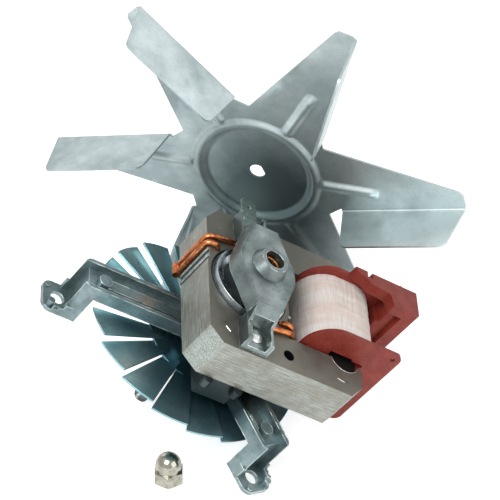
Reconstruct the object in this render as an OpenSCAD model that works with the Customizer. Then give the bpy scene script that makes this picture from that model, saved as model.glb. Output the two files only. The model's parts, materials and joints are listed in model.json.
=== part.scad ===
// Oven fan motor: shaded-pole motor with its cast bracket, cooling fan, fan wheel and domed nut.
// Every piece of the motor is drawn round the shaft, with the shaft along Z and the front
// lamination face at z = 0. The whole is then laid on the bench as it comes to rest.

/* [Lamination stack] */
// Thickness of the stack
stack_t = 18; // [16:0.5:22]
// Half of the stack's height
stack_half_h = 31.8; // [31:0.1:34]
// Distance from the shaft to the stack's left side
stack_left = 17.25; // [17.1:0.05:18.5]
// Distance from the shaft to the stack's right side
stack_right = 48.1; // [48:0.1:52]
// Width of the cut left corners
left_cut_w = 5.4; // [3:0.1:8]
// Height of the cut left corners
left_cut_h = 5.9; // [3:0.1:7]
// Width of the cut right corners
right_cut_w = 5.2; // [3:0.1:6]
// Height of the cut right corners
right_cut_h = 5.8; // [3:0.1:7]
// Diameter of the rotor bore
bore_d = 31.6; // [31.2:0.1:32]
// Gap between the bobbin's flanges and the coil window
window_gap = 0.9; // [0.5:0.1:1.5]
// Width of the yoke bar that the coil sits on
bar_w = 12.6; // [11:0.1:13]
// Distance of the yoke bar's front below the stack's front
bar_sink = 2.5; // [0:0.5:4]
// Radius of the empty hole near each right corner
spare_hole_r = 2.1; // [1.5:0.1:2.5]

/* [Shading rings] */
// Diameter of the copper wire
ring_wire_d = 2.2; // [1.6:0.1:2.3]
// Height of the outer ring's outer leg above the shaft
outer_ring_y = 15.5; // [15.2:0.1:16.2]
// Height of the inner ring's outer leg above the shaft
inner_ring_y = 12.5; // [11.5:0.1:12.8]

/* [Rotor] */
// Air gap round the rotor
air_gap = 0.35; // [0.3:0.05:0.5]
// Diameter of the shaft
shaft_d = 6; // [5:0.1:6.2]
// Running clearance of the shaft in its bearings, on the radius
shaft_clearance = 0.04; // [0.02:0.01:0.08]
// Length of the shaft behind the stack
shaft_rear = 54.4; // [50:0.1:60]
// Length of the threaded end
thread_len = 9; // [6:0.5:11]
// Length of the flatted seat, thread included
flat_len = 17; // [14:0.5:20]
// Distance from the axis to the flat
flat_depth = 2.5; // [2.4:0.05:2.7]
// Height of the cage's end rings
end_ring_h = 2.2; // [1.5:0.1:2.6]
// Number of cage bars
bar_count = 17; // [11:1:21]

/* [Bearings] */
// Radius of the self-aligning bearing
bearing_r = 6; // [5.4:0.1:6.2]
// Length of the bearing
bearing_len = 8; // [7:0.1:8.4]

/* [Front bridge] */
// Height of the bridge's top above the stack
bridge_h = 12.6; // [12:0.1:14]
// Height of the skirt's lower edge above the stack
skirt_z = 6; // [5.5:0.1:6.5]
// Half of the bridge's width over the shaft
bridge_half_w = 11.8; // [11.2:0.1:12.6]
// Half of the bridge's width at its ends
bridge_end_half_w = 5.5; // [5:0.1:6]
// Half of the length of the raised plate
plate_half_l = 19.3; // [19:0.1:20]
// Height of the nose round the bearing
nose_h = 3.8; // [2:0.1:5]
// Distance from the shaft to the rivets
rivet_y = 25.2; // [24.9:0.1:25.6]
// Radius of the rivets' shanks
rivet_r = 1.6; // [1.3:0.1:1.8]

/* [Rear bracket] */
// Radius of the circle through the foot holes
foot_circle_r = 54.5; // [53.5:0.5:58]
// Radius of the foot holes
foot_hole_r = 2.7; // [2:0.1:3]
// Distance from the stack to the arms' front edges
arm_gap = 5.4; // [5:0.1:6]
// Depth of an arm's side walls
arm_depth = 5.8; // [5:0.1:6]
// Half of an arm's width
arm_half_w = 6.8; // [6.4:0.1:7.5]
// Thickness of the arms' side walls
arm_wall = 1.6; // [1.2:0.1:2]
// Distance from the arms' front edges to the back of the feet
foot_drop = 19.3; // [19:0.1:21]
// Thickness of a foot's plate
foot_t = 1.6; // [1.4:0.1:3.6]

/* [Cooling fan] */
// Radius of the cooling fan
cool_r = 43.1; // [38:0.1:43.5]
// Number of blades
cool_blades = 18; // [12:1:20]
// Radius of the plain middle
cool_plain_r = 20; // [17:0.5:22]
// Twist of each blade in degrees
cool_twist = 11.5; // [6:0.5:12]
// Thickness of the cooling fan's sheet
cool_t = 0.8; // [0.6:0.1:1]

/* [Coil and bobbin] */
// Half of the distance over the bobbin's flanges
bobbin_half_h = 16; // [15.6:0.1:16.2]
// Thickness of the flanges
flange_t = 1.5; // [1.2:0.1:1.8]
// Distance from the stack's middle to the flange's front edge
flange_front = 21; // [20.5:0.1:22]
// Distance from the stack's middle to the flange's back edge
flange_back = 20.3; // [20.1:0.1:22]
// Distance from the stack's middle to the coil's front
coil_half_d = 18; // [17:0.1:18.4]
// Distance from the shaft to the coil's left side
coil_left = 22.7; // [22.3:0.1:24]
// Distance from the shaft to the coil's right side
coil_right = 53.2; // [52:0.1:53.4]
// Thickness of the tape round the winding
tape_t = 0.6; // [0.4:0.1:1]
// Distance from the shaft to the flange's right edge
flange_right = 58.9; // [58.6:0.1:60]
// Width of the supply tabs
tab_w = 6.3; // [4.8:0.1:6.3]
// Thickness of the tabs
tab_t = 0.8; // [0.5:0.1:1]

/* [Fan wheel] */
// Radius from the hub to the blades' tips
wheel_r = 81.5; // [70:0.5:84]
// Number of blades
wheel_blades = 6; // [5:1:6]
// Thickness of the wheel's sheet
wheel_t = 0.8; // [0.6:0.1:1]
// Height of the folded flaps
flap_h = 21.4; // [12:0.1:22]
// Radius of the bead round the hub
bead_r = 23.4; // [21:0.1:25]
// Depth of the hub below the bead
hub_depth = 2.2; // [1.2:0.1:3.5]

/* [Domed nut] */
// Width across the nut's flats
nut_af = 10; // [8:0.5:11]
// Height of the whole nut
nut_h = 11.8; // [10:0.1:13]
// Height of the hexagon
nut_hex_h = 5; // [4:0.1:6]

/* [Hidden] */
$fn = 64;

// Turn that brings the shaft from upright to the way the motor lies on the bench
rest_turn = [13.87, 33.44, 10.2];
// Place of the motor's shaft on the bench, where the front lamination face crosses it
rest_place = [-1.56, -22.19];
// Turn of the fan wheel, which leans behind the motor, and its hub's distance from the shaft
wheel_turn = [98.55, -3.6, -19];
wheel_offset = [3.1, 62.2];
// Distance of the domed nut's middle from the shaft
nut_offset = [-28.9, -31];

stack_back = -stack_t;
window_half_h = bobbin_half_h + window_gap;
stack_mid = -stack_t / 2;
bore_r = bore_d / 2;
bridge_wall_x = stack_left;
shaft_r = shaft_d / 2;
rotor_r = bore_r - air_gap;
seam = 0.05;
bar_right = stack_right - 0.7;
bar_mid = bar_right - bar_w / 2;
bar_r = bar_w / 2;
bar_end_y = window_half_h - 1.9;
shaft_end = stack_back - shaft_rear;
front_bearing_z = 9.5;
arm_z = stack_back - arm_gap;
arm_back = arm_z - arm_depth;
foot_back = arm_z - foot_drop;
foot_front = foot_back + foot_t;
rear_bearing_z = arm_z - 3.1;
cool_z = arm_back - 5.2;
riser_out = foot_circle_r - 1.2;
riser_in = riser_out - 6.5;
foot_end = foot_circle_r + 6;
foot_round = 3.5;
arm_angles = [60, 180, 300];
// Upward direction of the bench as the motor sees it, and the lift that sets the lowest foot's
// outer corner on the bench
rest_up = [-sin(rest_turn[1]), cos(rest_turn[1]) * sin(rest_turn[0]),
           cos(rest_turn[1]) * cos(rest_turn[0])];
low_a = arm_angles[2];
low_u = foot_end - foot_round;
low_v = arm_half_w - foot_round;
low_corner = [low_u * cos(low_a) - low_v * sin(low_a), low_u * sin(low_a) + low_v * cos(low_a), foot_back];
rest_lift = foot_round * norm([rest_up[0], rest_up[1]]) - rest_up * low_corner;

module rounded_block(size, r) {
    // An upright block with round corners, of straight walls and true arcs
    for (sx = [0, 1], sy = [0, 1])
        translate([sx ? size[0] - r : r, sy ? size[1] - r : r, 0]) cylinder(r = r, h = size[2]);
    translate([r, 0, 0]) cube([size[0] - 2 * r, size[1], size[2]]);
    translate([0, r, 0]) cube([size[0], size[1] - 2 * r, size[2]]);
}

// The stack, its bar and the shading rings

// Places of a ring's two legs: in the side slot, and in the pole near the bore
outer_ring = [[-stack_left - 0.65, outer_ring_y], [-5.2, bore_r + 1.6 + seam]];
inner_ring = [[-stack_left - 0.65, inner_ring_y], [-12.9, 11.9]];
slot_hole_r = ring_wire_d / 2 + 0.1;
slot_top = outer_ring_y + ring_wire_d / 2 + 0.3;
slot_bottom = inner_ring_y - ring_wire_d / 2 - 3.4;
lip_bottom = slot_bottom - 2.6;
slot_depth = 0.95;

module core_outline() {
    polygon([[-stack_left, -stack_half_h + left_cut_h], [-stack_left + left_cut_w, -stack_half_h],
             [stack_right - right_cut_w, -stack_half_h], [stack_right, -stack_half_h + right_cut_h],
             [stack_right, stack_half_h - right_cut_h], [stack_right - right_cut_w, stack_half_h],
             [-stack_left + left_cut_w, stack_half_h], [-stack_left, stack_half_h - left_cut_h]]);
}

module shading_slots() {
    // The side slot, its stepped lip and the two holes beside the bore, on opposite poles
    for (side = [0, 180]) rotate([0, 0, side]) {
        translate([-stack_left - 2, slot_bottom]) square([2 + slot_depth, slot_top - slot_bottom]);
        translate([-stack_left - 2, lip_bottom])
            square([2 + slot_depth / 2, slot_bottom - lip_bottom + 1]);
        translate(outer_ring[1]) circle(r = slot_hole_r, $fn = 24);
        translate(inner_ring[1]) circle(r = slot_hole_r, $fn = 24);
    }
}

module lamination_stack() {
    color("#9a968a") translate([0, 0, stack_back]) linear_extrude(stack_t) difference() {
        core_outline();
        circle(r = bore_r, $fn = 96);
        translate([bridge_wall_x, -window_half_h]) square([stack_right, 2 * window_half_h]);
        for (s = [-1, 1]) {
            translate([bar_mid, s * bar_end_y]) circle(r = bar_r + seam);
            translate([0, s * rivet_y]) circle(r = rivet_r, $fn = 32);
            translate([15.8, s * rivet_y]) circle(r = spare_hole_r, $fn = 32);
        }
        shading_slots();
    }
}

module yoke_bar() {
    color("#8f8a80") translate([0, 0, stack_back]) linear_extrude(stack_t - bar_sink) {
        translate([bar_mid - bar_r, -bar_end_y]) square([bar_w, 2 * bar_end_y]);
        for (s = [-1, 1]) translate([bar_mid, s * bar_end_y]) circle(r = bar_r);
    }
}

module shading_ring(legs, side) {
    // A loop of bare wire through the stack, welded shut behind it
    r = ring_wire_d / 2;
    front = r + seam;
    back = stack_back - r - seam;
    span = legs[1] - legs[0];
    color("#b9652f") rotate([0, 0, side]) {
        for (leg = legs) translate([leg[0], leg[1], back]) {
            cylinder(r = r, h = front - back, $fn = 20);
            sphere(r = r + 0.04, $fn = 20);
            translate([0, 0, front - back]) sphere(r = r + 0.04, $fn = 20);
        }
        for (z = [front, back]) translate([legs[0][0], legs[0][1], z])
            rotate([0, 0, atan2(span[1], span[0])]) rotate([0, 90, 0])
                cylinder(r = r, h = norm(span), $fn = 20);
    }
}

// The bobbin, its winding and the supply tabs

flange_z_front = stack_mid + flange_front;
flange_z_back = stack_mid - flange_back;
flange_left = 22.2;
flange_arc_r = 12.3;
tube_gap = 0.3;
tube_wall = 1.1;
tube_left = bar_mid - bar_r - tube_gap - tube_wall;
tube_right = bar_right + tube_gap + tube_wall;
housing_right = flange_right + 6.5;
housing_front = flange_z_front + 3.8;
housing_low = bobbin_half_h - 11.3;

module flange() {
    // Drawn flat, with the coil's axis along Z: round towards the rotor in front and behind
    r_out = 3;
    depth = flange_z_front - flange_z_back;
    width = flange_right - flange_left;
    translate([flange_left, -flange_z_front, 0]) {
        translate([flange_arc_r, flange_arc_r, 0]) cylinder(r = flange_arc_r, h = flange_t);
        translate([flange_arc_r, depth - flange_arc_r, 0]) cylinder(r = flange_arc_r, h = flange_t);
        translate([width - r_out, r_out, 0]) cylinder(r = r_out, h = flange_t, $fn = 32);
        translate([width - r_out, depth - r_out, 0]) cylinder(r = r_out, h = flange_t, $fn = 32);
        translate([0, flange_arc_r, 0]) cube([width, depth - 2 * flange_arc_r, flange_t]);
        translate([flange_arc_r, 0, 0]) cube([width - flange_arc_r - r_out, depth, flange_t]);
        translate([flange_arc_r, r_out, 0]) cube([width - flange_arc_r, depth - 2 * r_out, flange_t]);
    }
}

module terminal_housing() {
    // A box beside the upper flange, open towards the lower one and to the rear
    wall = 4.9;
    top = bobbin_half_h;
    step_x = flange_right - 6.3;
    front_wall = [[flange_left + 15.4, top], [housing_right, top], [housing_right, housing_low + 1.5],
                  [housing_right - 1, housing_low], [step_x + 1.6, housing_low], [step_x, top - 6.4],
                  [step_x - 7.6, top - 5.6], [flange_left + 15.4, top - flange_t]];
    translate([0, 0, flange_z_front - 1]) linear_extrude(housing_front - flange_z_front + 1)
        polygon(front_wall);
    translate([housing_right - wall, housing_low, flange_z_back])
        cube([wall, top - housing_low, housing_front - flange_z_back]);
    translate([housing_right - wall - 1.8, housing_low + 3.4, flange_z_back])
        cube([1.9, 2.4, housing_front - flange_z_back - 1]);
    translate([flange_right - 3, top - 0.8, flange_z_back])
        cube([housing_right - flange_right + 3, 0.8, housing_front - flange_z_back]);
    for (z = [flange_z_back, flange_z_front - 12])
        translate([coil_right + 0.6, top - 7.2, z]) cube([housing_right - coil_right - 0.6, 7.2, 2.2]);
    translate([flange_right, top - 0.5, housing_front - 1.6]) rotate([-90, 0, 0])
        cylinder(r = 0.9, h = 1.6, $fn = 20);
}

module bobbin_reliefs() {
    // The stepped relief in the lower flange over the bar's end, and the latch slot in the housing
    translate([tube_left + 0.4, -bobbin_half_h - 1, -1]) cube([9.8, flange_t + 1.6, 2.6]);
    translate([tube_left + 9, -bobbin_half_h - 1, -1]) cube([bar_w - 6.4, flange_t + 1.6, 1.7]);
    translate([flange_left + 20.6, bobbin_half_h - 2.6, flange_z_front + 0.4]) cube([2.2, 4, 6]);
}

tab_mid_y = bobbin_half_h - 0.8 - 0.4 - tab_w / 2;
tab_a_x = coil_right + 1.9;
tab_b_x = tab_a_x + 3.1;

module supply_tab_slots() {
    for (x = [tab_a_x, tab_b_x])
        translate([x, tab_mid_y - tab_w / 2, flange_z_back - 1]) cube([tab_t, tab_w, 40]);
}

module bobbin() {
    color("#9b4036") difference() {
        union() {
            for (y = [bobbin_half_h - flange_t, -bobbin_half_h])
                translate([0, y, 0]) rotate([-90, 0, 0]) flange();
            translate([tube_left, -bobbin_half_h + flange_t / 2, stack_back - tube_gap - tube_wall])
                cube([tube_right - tube_left, 2 * bobbin_half_h - flange_t,
                      stack_t + 2 * (tube_gap + tube_wall)]);
            terminal_housing();
        }
        translate([tube_left + tube_wall, -bobbin_half_h - 1, stack_back - tube_gap])
            cube([bar_w + 2 * tube_gap, 2 * bobbin_half_h + 2, stack_t + 2 * tube_gap]);
        translate([flange_right - 3.1, -bobbin_half_h - 1, flange_z_front - 3]) rotate([-90, 0, 0])
            cylinder(r = 0.9, h = flange_t + 2, $fn = 24);
        bobbin_reliefs();
        supply_tab_slots();
    }
}

module coil_solid(grow, half_h) {
    // A round-cornered block with its axis along Y
    x0 = coil_left + tape_t - grow;
    x1 = coil_right - tape_t + grow;
    z_half = coil_half_d - tape_t + grow;
    r = 11 + grow;
    translate([x0, half_h, stack_mid - z_half]) rotate([90, 0, 0])
        rounded_block([x1 - x0, 2 * z_half, 2 * half_h], r);
}

coil_half_h = bobbin_half_h - flange_t;

module coil_winding() {
    color("#b9652f") difference() {
        coil_solid(0, coil_half_h);
        translate([tube_left, -coil_half_h - 1, stack_back - tube_gap - tube_wall])
            cube([tube_right - tube_left, 2 * coil_half_h + 2, stack_t + 2 * (tube_gap + tube_wall)]);
    }
}

module coil_tape() {
    color("#ddd5cf") difference() {
        coil_solid(tape_t, coil_half_h);
        coil_solid(0, coil_half_h + 1);
    }
}

module supply_tab(x) {
    // A push-on tab that points to the rear, with its detent hole near the end
    color("#c9cbc8") difference() {
        translate([x, tab_mid_y - tab_w / 2, flange_z_back - 4])
            cube([tab_t, tab_w, 36]);
        translate([x - 1, tab_mid_y, flange_z_back - 0.6]) rotate([0, 90, 0])
            cylinder(r = 0.8, h = tab_t + 2, $fn = 20);
    }
}

// The bearings, which are alike in front and behind

felt_h = 2.2;
clip_t = 0.4;
housing_bore_r = bearing_r + 0.05;
felt_r = bearing_r + 2.4;
clip_hole_r = bearing_r - 1.8;

module bearing(z) {
    color("#a8703c") translate([0, 0, z]) difference() {
        intersection() {
            sphere(r = bearing_r);
            cylinder(r = bearing_r, h = bearing_len, center = true);
        }
        cylinder(r = shaft_r + shaft_clearance, h = bearing_len + 2, center = true, $fn = 48);
    }
}

module bearing_seat(z) {
    // The hollow for a bearing, its felt ring and its clip; the mouth is towards -Z
    translate([0, 0, z]) {
        sphere(r = housing_bore_r);
        translate([0, 0, -bearing_r - 2]) cylinder(r = housing_bore_r, h = bearing_r + 2);
        translate([0, 0, -bearing_r - 2]) cylinder(r = felt_r + seam, h = bearing_r + 2 - 1.4);
    }
}

module felt_ring(z) {
    color("#d8cfb4") translate([0, 0, z - 1.4 - felt_h - 0.1]) difference() {
        cylinder(r = felt_r, h = felt_h);
        translate([0, 0, -1]) cylinder(r = housing_bore_r, h = felt_h + 2);
    }
}

module bearing_clip(z) {
    // A sprung washer with six fingers that press on the bearing
    color("#b4b6b3") translate([0, 0, z - bearing_len / 2 - seam - clip_t]) difference() {
        cylinder(r = felt_r, h = clip_t);
        translate([0, 0, -1]) cylinder(r = clip_hole_r, h = clip_t + 2);
        for (a = [0 : 60 : 300]) rotate([0, 0, a]) translate([clip_hole_r - 1, -0.5, -1])
            cube([3, 1, clip_t + 2]);
    }
}

// The front bridge

function lozenge(w, e, l, f) = [[e, l], [w, f], [w, -f], [e, -l], [-e, -l], [-w, -f], [-w, f], [-e, l]];
bridge_flat = 2.8;
bridge_wall = 2;
leg_top = 6;
leg_end = 31;
leg_inner = 18.7;
leg_half_w = 5.6;
pocket_floor = 2;
nose_base_r = bearing_r + 1.1;
nose_top_r = nose_base_r - 1.7;
nose_hole_r = 3.8;
hub_out_r = felt_r + 1.3;
hub_low = front_bearing_z - 5;

module bridge_cap() {
    // The raised plate, its flared skirt and its rounded rim
    rim = 1.2;
    hull() {
        translate([0, 0, skirt_z]) linear_extrude(0.1)
            polygon(lozenge(bridge_half_w + 0.7, bridge_end_half_w + 0.5, plate_half_l + 0.4, bridge_flat));
        translate([0, 0, bridge_h - rim]) linear_extrude(0.1)
            polygon(lozenge(bridge_half_w, bridge_end_half_w, plate_half_l, bridge_flat));
        translate([0, 0, bridge_h - rim * 0.35]) linear_extrude(0.1)
            polygon(lozenge(bridge_half_w - rim * 0.35, bridge_end_half_w - rim * 0.3,
                            plate_half_l - rim * 0.3, bridge_flat - 0.1));
        translate([0, 0, bridge_h - 0.1]) linear_extrude(0.1)
            polygon(lozenge(bridge_half_w - rim, bridge_end_half_w - rim * 0.8,
                            plate_half_l - rim * 0.8, bridge_flat - 0.4));
    }
}

module bridge_leg(side) {
    // A leg that stands on the stack, and the neck that joins it to the plate
    rim = 0.7;
    mirror([0, side < 0 ? 1 : 0, 0]) {
        hull() {
            translate([-leg_half_w, leg_inner, 0]) cube([2 * leg_half_w, leg_end - leg_inner, 1]);
            translate([-leg_half_w + 0.2, leg_inner, leg_top - rim])
                cube([2 * leg_half_w - 0.4, leg_end - leg_inner - 0.2, 0.1]);
            translate([-leg_half_w + rim, leg_inner, leg_top - 0.1])
                cube([2 * leg_half_w - 2 * rim, leg_end - leg_inner - rim, 0.1]);
        }
        hull() {
            translate([-leg_half_w + 0.4, leg_inner, 3.2])
                cube([2 * leg_half_w - 0.8, 4.2, leg_top - 3.2 - 0.5]);
            translate([-bridge_end_half_w + 0.4, plate_half_l - 2.2, bridge_h - 2])
                cube([2 * bridge_end_half_w - 0.8, 2, 1]);
        }
    }
}

pocket_half_w = 3.6;
pocket_in = rivet_y - 4.1;
pocket_out = rivet_y + 3.6;

module leg_pocket(side) {
    // The square pocket that the rivet's head lies in, with drafted walls
    mirror([0, side < 0 ? 1 : 0, 0]) hull() {
        translate([-pocket_half_w, pocket_in + 0.6, pocket_floor])
            cube([2 * pocket_half_w, pocket_out - pocket_in - 0.6, 0.1]);
        translate([-pocket_half_w - 0.5, pocket_in - 0.4, leg_top + 2])
            cube([2 * pocket_half_w + 1, pocket_out - pocket_in + 0.8, 0.1]);
    }
}

module front_bridge() {
    color("#7c8080") difference() {
        union() {
            difference() {
                bridge_cap();
                translate([0, 0, skirt_z - 1]) linear_extrude(bridge_h - bridge_wall - skirt_z + 1)
                    polygon(lozenge(bridge_half_w - bridge_wall + 0.4, bridge_end_half_w - bridge_wall,
                                    plate_half_l - bridge_wall, bridge_flat));
            }
            bridge_leg(-1);
            bridge_leg(1);
            translate([0, 0, hub_low]) cylinder(r = hub_out_r, h = bridge_h - 1 - hub_low);
            translate([0, 0, bridge_h - 0.5]) cylinder(r = nose_base_r, h = 0.6);
            translate([0, 0, bridge_h])
                cylinder(r1 = nose_base_r, r2 = nose_top_r, h = nose_h, $fn = 72);
        }
        bearing_seat(front_bearing_z);
        cylinder(r = nose_hole_r, h = bridge_h + nose_h + 1, $fn = 48);
        leg_pocket(-1);
        leg_pocket(1);
        translate([-tab_w / 2 - 0.2, pocket_out - 1, pocket_floor]) cube([tab_w + 0.4, 6, leg_top]);
        translate([-pocket_half_w, -leg_end - 1, pocket_floor + 0.3])
            cube([2 * pocket_half_w, leg_end - pocket_out + 2, leg_top]);
        for (s = [-1, 1]) translate([0, s * rivet_y, -1]) cylinder(r = rivet_r, h = 5, $fn = 32);
    }
}

module earth_tab() {
    // The tab lies in the upper pocket under the rivet's head and points away over the stack
    end_y = stack_half_h + 9.2;
    color("#c4c8c0") translate([0, 0, pocket_floor]) difference() {
        union() {
            translate([-tab_w / 2, rivet_y - 3.1, 0]) cube([tab_w, end_y - rivet_y + 3.1 - 0.8, tab_t]);
            translate([-tab_w / 2 + 0.8, end_y - 1, 0]) cube([tab_w - 1.6, 1, tab_t]);
        }
        translate([0, rivet_y, -1]) cylinder(r = rivet_r, h = tab_t + 2, $fn = 32);
        translate([0, end_y - 4.2, -1]) cylinder(r = 0.9, h = tab_t + 2, $fn = 24);
    }
}

rear_pad_z = arm_z + 0.6;

module rivet(side, seat) {
    // A shank through bridge, stack and bracket, peened over at both ends
    color("#d5d6d2") translate([0, side * rivet_y, 0]) {
        translate([0, 0, rear_pad_z]) cylinder(r = rivet_r, h = seat - rear_pad_z + 0.2, $fn = 32);
        translate([0, 0, seat]) cylinder(r1 = 3, r2 = 2.3, h = 1.3, $fn = 32);
        translate([0, 0, rear_pad_z - 1.2]) cylinder(r1 = 2.2, r2 = 3, h = 1.2, $fn = 32);
    }
}

// The rear bracket

corner_r = 3;

module arm_body() {
    // One arm along +X: a channel open to the front, which turns down to the foot
    floor_z = arm_z - 3.2;
    difference() {
        union() {
            translate([8, -arm_half_w, arm_back]) cube([riser_out - 8, 2 * arm_half_w, arm_depth]);
            translate([riser_in, -arm_half_w, foot_back])
                cube([riser_out - riser_in, 2 * arm_half_w, foot_drop]);
            translate([riser_in, -arm_half_w, foot_back])
                rounded_block([foot_end - riser_in, 2 * arm_half_w, foot_t], foot_round);
            translate([riser_out - 1, arm_half_w - arm_wall, foot_front - 0.4])
                cube([foot_end - riser_out - foot_round + 1, arm_wall, 2.7]);
        }
        translate([6, -arm_half_w + arm_wall, floor_z])
            cube([riser_out - 6 - 2.8, 2 * (arm_half_w - arm_wall), arm_depth]);
        translate([riser_out - 3.2, -arm_half_w + arm_wall, foot_front])
            cube([foot_drop, 2 * (arm_half_w - arm_wall), foot_drop]);
        translate([foot_circle_r, 0, foot_back - 1]) cylinder(r = foot_hole_r, h = foot_t + 2, $fn = 40);
        for (m = [0, 1]) mirror([0, m, 0]) translate([riser_out, arm_half_w, foot_back + 6])
            difference() {
                translate([-corner_r, -corner_r, 0]) cube([corner_r + 1, corner_r + 1, foot_drop]);
                translate([-corner_r, -corner_r, -1]) cylinder(r = corner_r, h = foot_drop + 2, $fn = 32);
            }
        for (x = [riser_out + 2.2, riser_out + 4.6]) translate([x, arm_half_w + 0.4, foot_front + 0.9])
            cylinder(r = 0.9, h = 3, $fn = 16);
    }
}

module arm_ribs() {
    // The rib along the channel's floor, the ejector pad at its end and the lugs on the foot
    floor_z = arm_z - 3.2;
    translate([9, -2.3, floor_z - 0.5]) cube([riser_out - 9 - 9.5, 4.6, 1.7]);
    translate([riser_out - 8.8, 0.3, floor_z - 0.5]) cylinder(r = 2.6, h = 3.1, $fn = 32);
    translate([foot_end - 1.6, -4.2, foot_front - 0.5]) cylinder(r = 1.1, h = 1.3, $fn = 16);
    translate([foot_end - 2.6, arm_half_w - 2.4, foot_front - 0.5]) cylinder(r = 1.4, h = 2.9, $fn = 16);
}

module rear_pads() {
    // The webs from the hub to the two pads that the stack is riveted to, and their corner lugs
    for (s = [0, 180]) rotate([0, 0, s]) {
        translate([-7, 0, arm_back + 1.4]) cube([14, leg_end + 0.6, arm_depth - 1.4 + 0.6]);
        translate([-7, leg_inner, arm_z]) cube([14, leg_end + 0.6 - leg_inner, arm_gap]);
        for (x = [-6.2, 6.2]) translate([x, leg_end + 1.6, stack_back - 3.4])
            cylinder(r = 1.8, h = 3.4, $fn = 24);
    }
}

module rear_bracket() {
    rear_hub_r = felt_r + 1.6;
    hub_front = rear_bearing_z + 6.2;
    hub_back = arm_back - 1.8;
    color("#7a7f80") difference() {
        union() {
            for (a = arm_angles) rotate([0, 0, a]) arm_body();
            rear_pads();
            translate([0, 0, hub_back]) cylinder(r = rear_hub_r, h = hub_front - hub_back);
            for (a = arm_angles) rotate([0, 0, a]) arm_ribs();
        }
        translate([0, 0, rear_bearing_z]) mirror([0, 0, 1]) bearing_seat(0);
        translate([0, 0, hub_back - 1]) cylinder(r = nose_hole_r, h = 40, $fn = 48);
        for (s = [-1, 1]) translate([0, s * rivet_y, 0]) {
            translate([0, 0, arm_back]) cylinder(r = rivet_r, h = 20, $fn = 32);
            translate([0, 0, arm_back - 8]) cylinder(r = 3.4, h = rear_pad_z - arm_back + 8, $fn = 32);
        }
    }
}

// The rotor

cage_bar_r = 0.9;
cage_circle_r = rotor_r - 1.7;

module cage_bars(r) {
    for (i = [0 : bar_count - 1]) rotate([0, 0, i * 360 / bar_count])
        translate([cage_circle_r, 0, stack_back]) cylinder(r = r, h = stack_t, $fn = 16);
}

module rotor_core() {
    color("#8f8a80") difference() {
        translate([0, 0, stack_back]) cylinder(r = rotor_r, h = stack_t, $fn = 96);
        cage_bars(cage_bar_r);
        translate([0, 0, stack_back - 1]) cylinder(r = shaft_r, h = stack_t + 2, $fn = 48);
    }
}

module rotor_cage() {
    // The cast cage: two end rings, dished on the inside, joined by the bars
    color("#c5c8c9") {
        cage_bars(cage_bar_r);
        for (s = [0, 1]) translate([0, 0, s ? stack_back : 0]) mirror([0, 0, s])
            rotate_extrude($fn = 96) polygon([[rotor_r - 4.6, 0], [rotor_r - 0.2, 0],
                [rotor_r - 0.5, end_ring_h], [rotor_r - 2.4, end_ring_h], [rotor_r - 4.2, 0.6]]);
    }
}

front_bearing_low = front_bearing_z - bearing_len / 2;
rear_bearing_high = rear_bearing_z + bearing_len / 2;
washer_t = 0.6;

module shaft() {
    color("#b9bcbb") difference() {
        union() {
            translate([0, 0, shaft_end + thread_len]) cylinder(r = shaft_r,
                h = front_bearing_z + 0.5 - shaft_end - thread_len, $fn = 48);
            translate([0, 0, shaft_end + 0.6]) cylinder(r = shaft_r - 0.08, h = thread_len, $fn = 48);
            translate([0, 0, shaft_end]) cylinder(r1 = shaft_r - 0.7, r2 = shaft_r - 0.08, h = 0.6, $fn = 48);
        }
        translate([flat_depth, -shaft_d, shaft_end - 1]) cube([shaft_d, 2 * shaft_d, flat_len + 1]);
        translate([0, 0, shaft_end + thread_len - 1]) difference() {
            cylinder(r = shaft_r + 1, h = 1, $fn = 48);
            translate([0, 0, -1]) cylinder(r = shaft_r - 0.5, h = 3, $fn = 48);
        }
    }
}

module thrust_washer(z) {
    color("#3a3a38") translate([0, 0, z]) difference() {
        cylinder(r = clip_hole_r - 0.3, h = washer_t, $fn = 40);
        translate([0, 0, -1]) cylinder(r = shaft_r, h = washer_t + 2, $fn = 48);
    }
}

// The cooling fan

module cool_blade() {
    // A flat sector with a round tip, drawn along +X and turned about its own middle line
    half_a = 180 / cool_blades - 0.6;
    rotate([cool_twist, 0, 0]) translate([0, 0, -cool_t / 2]) linear_extrude(cool_t) intersection() {
        circle(r = cool_r, $fn = 96);
        polygon([[cool_plain_r - 4, -(cool_plain_r - 4) * tan(half_a)],
                 [cool_r + 2, -(cool_r + 2) * tan(half_a)],
                 [cool_r + 2, (cool_r + 2) * tan(half_a)],
                 [cool_plain_r - 4, (cool_plain_r - 4) * tan(half_a)]]);
    }
}

cool_hub_r = 5.6;

module cooling_fan() {
    color("#4f7078") translate([0, 0, cool_z]) difference() {
        union() {
            for (i = [0 : cool_blades - 1]) rotate([0, 0, (i + 0.68) * 360 / cool_blades]) cool_blade();
            translate([0, 0, -cool_t / 2]) cylinder(r = cool_plain_r, h = cool_t, $fn = 72);
        }
        translate([0, 0, -5]) cylinder(r = cool_hub_r - 1, h = 10, $fn = 48);
    }
}

module cooling_fan_hub() {
    // The turned bush that the fan is staked to, pressed on the shaft
    color("#a9acab") translate([0, 0, cool_z]) difference() {
        union() {
            translate([0, 0, -3.4]) cylinder(r = cool_hub_r, h = 3.4 - cool_t / 2, $fn = 48);
            translate([0, 0, -cool_t / 2]) cylinder(r = cool_hub_r - 1, h = cool_t + 0.7, $fn = 48);
        }
        translate([0, 0, -5]) cylinder(r = shaft_r, h = 10, $fn = 48);
    }
}

// The fan wheel

notch_r = 31.8;
notch_a = 31.6;
wheel_step = 360 / wheel_blades;
fold_in = [33, -13.3];
fold_out = [wheel_r, -2.1];
tip_lead = [wheel_r - 3.1, 6.3];
fold_l = norm(fold_out - fold_in);
fold_a = atan2(fold_out[1] - fold_in[1], fold_out[0] - fold_in[0]);
hub_hole_r = shaft_r + 0.1;

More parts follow.
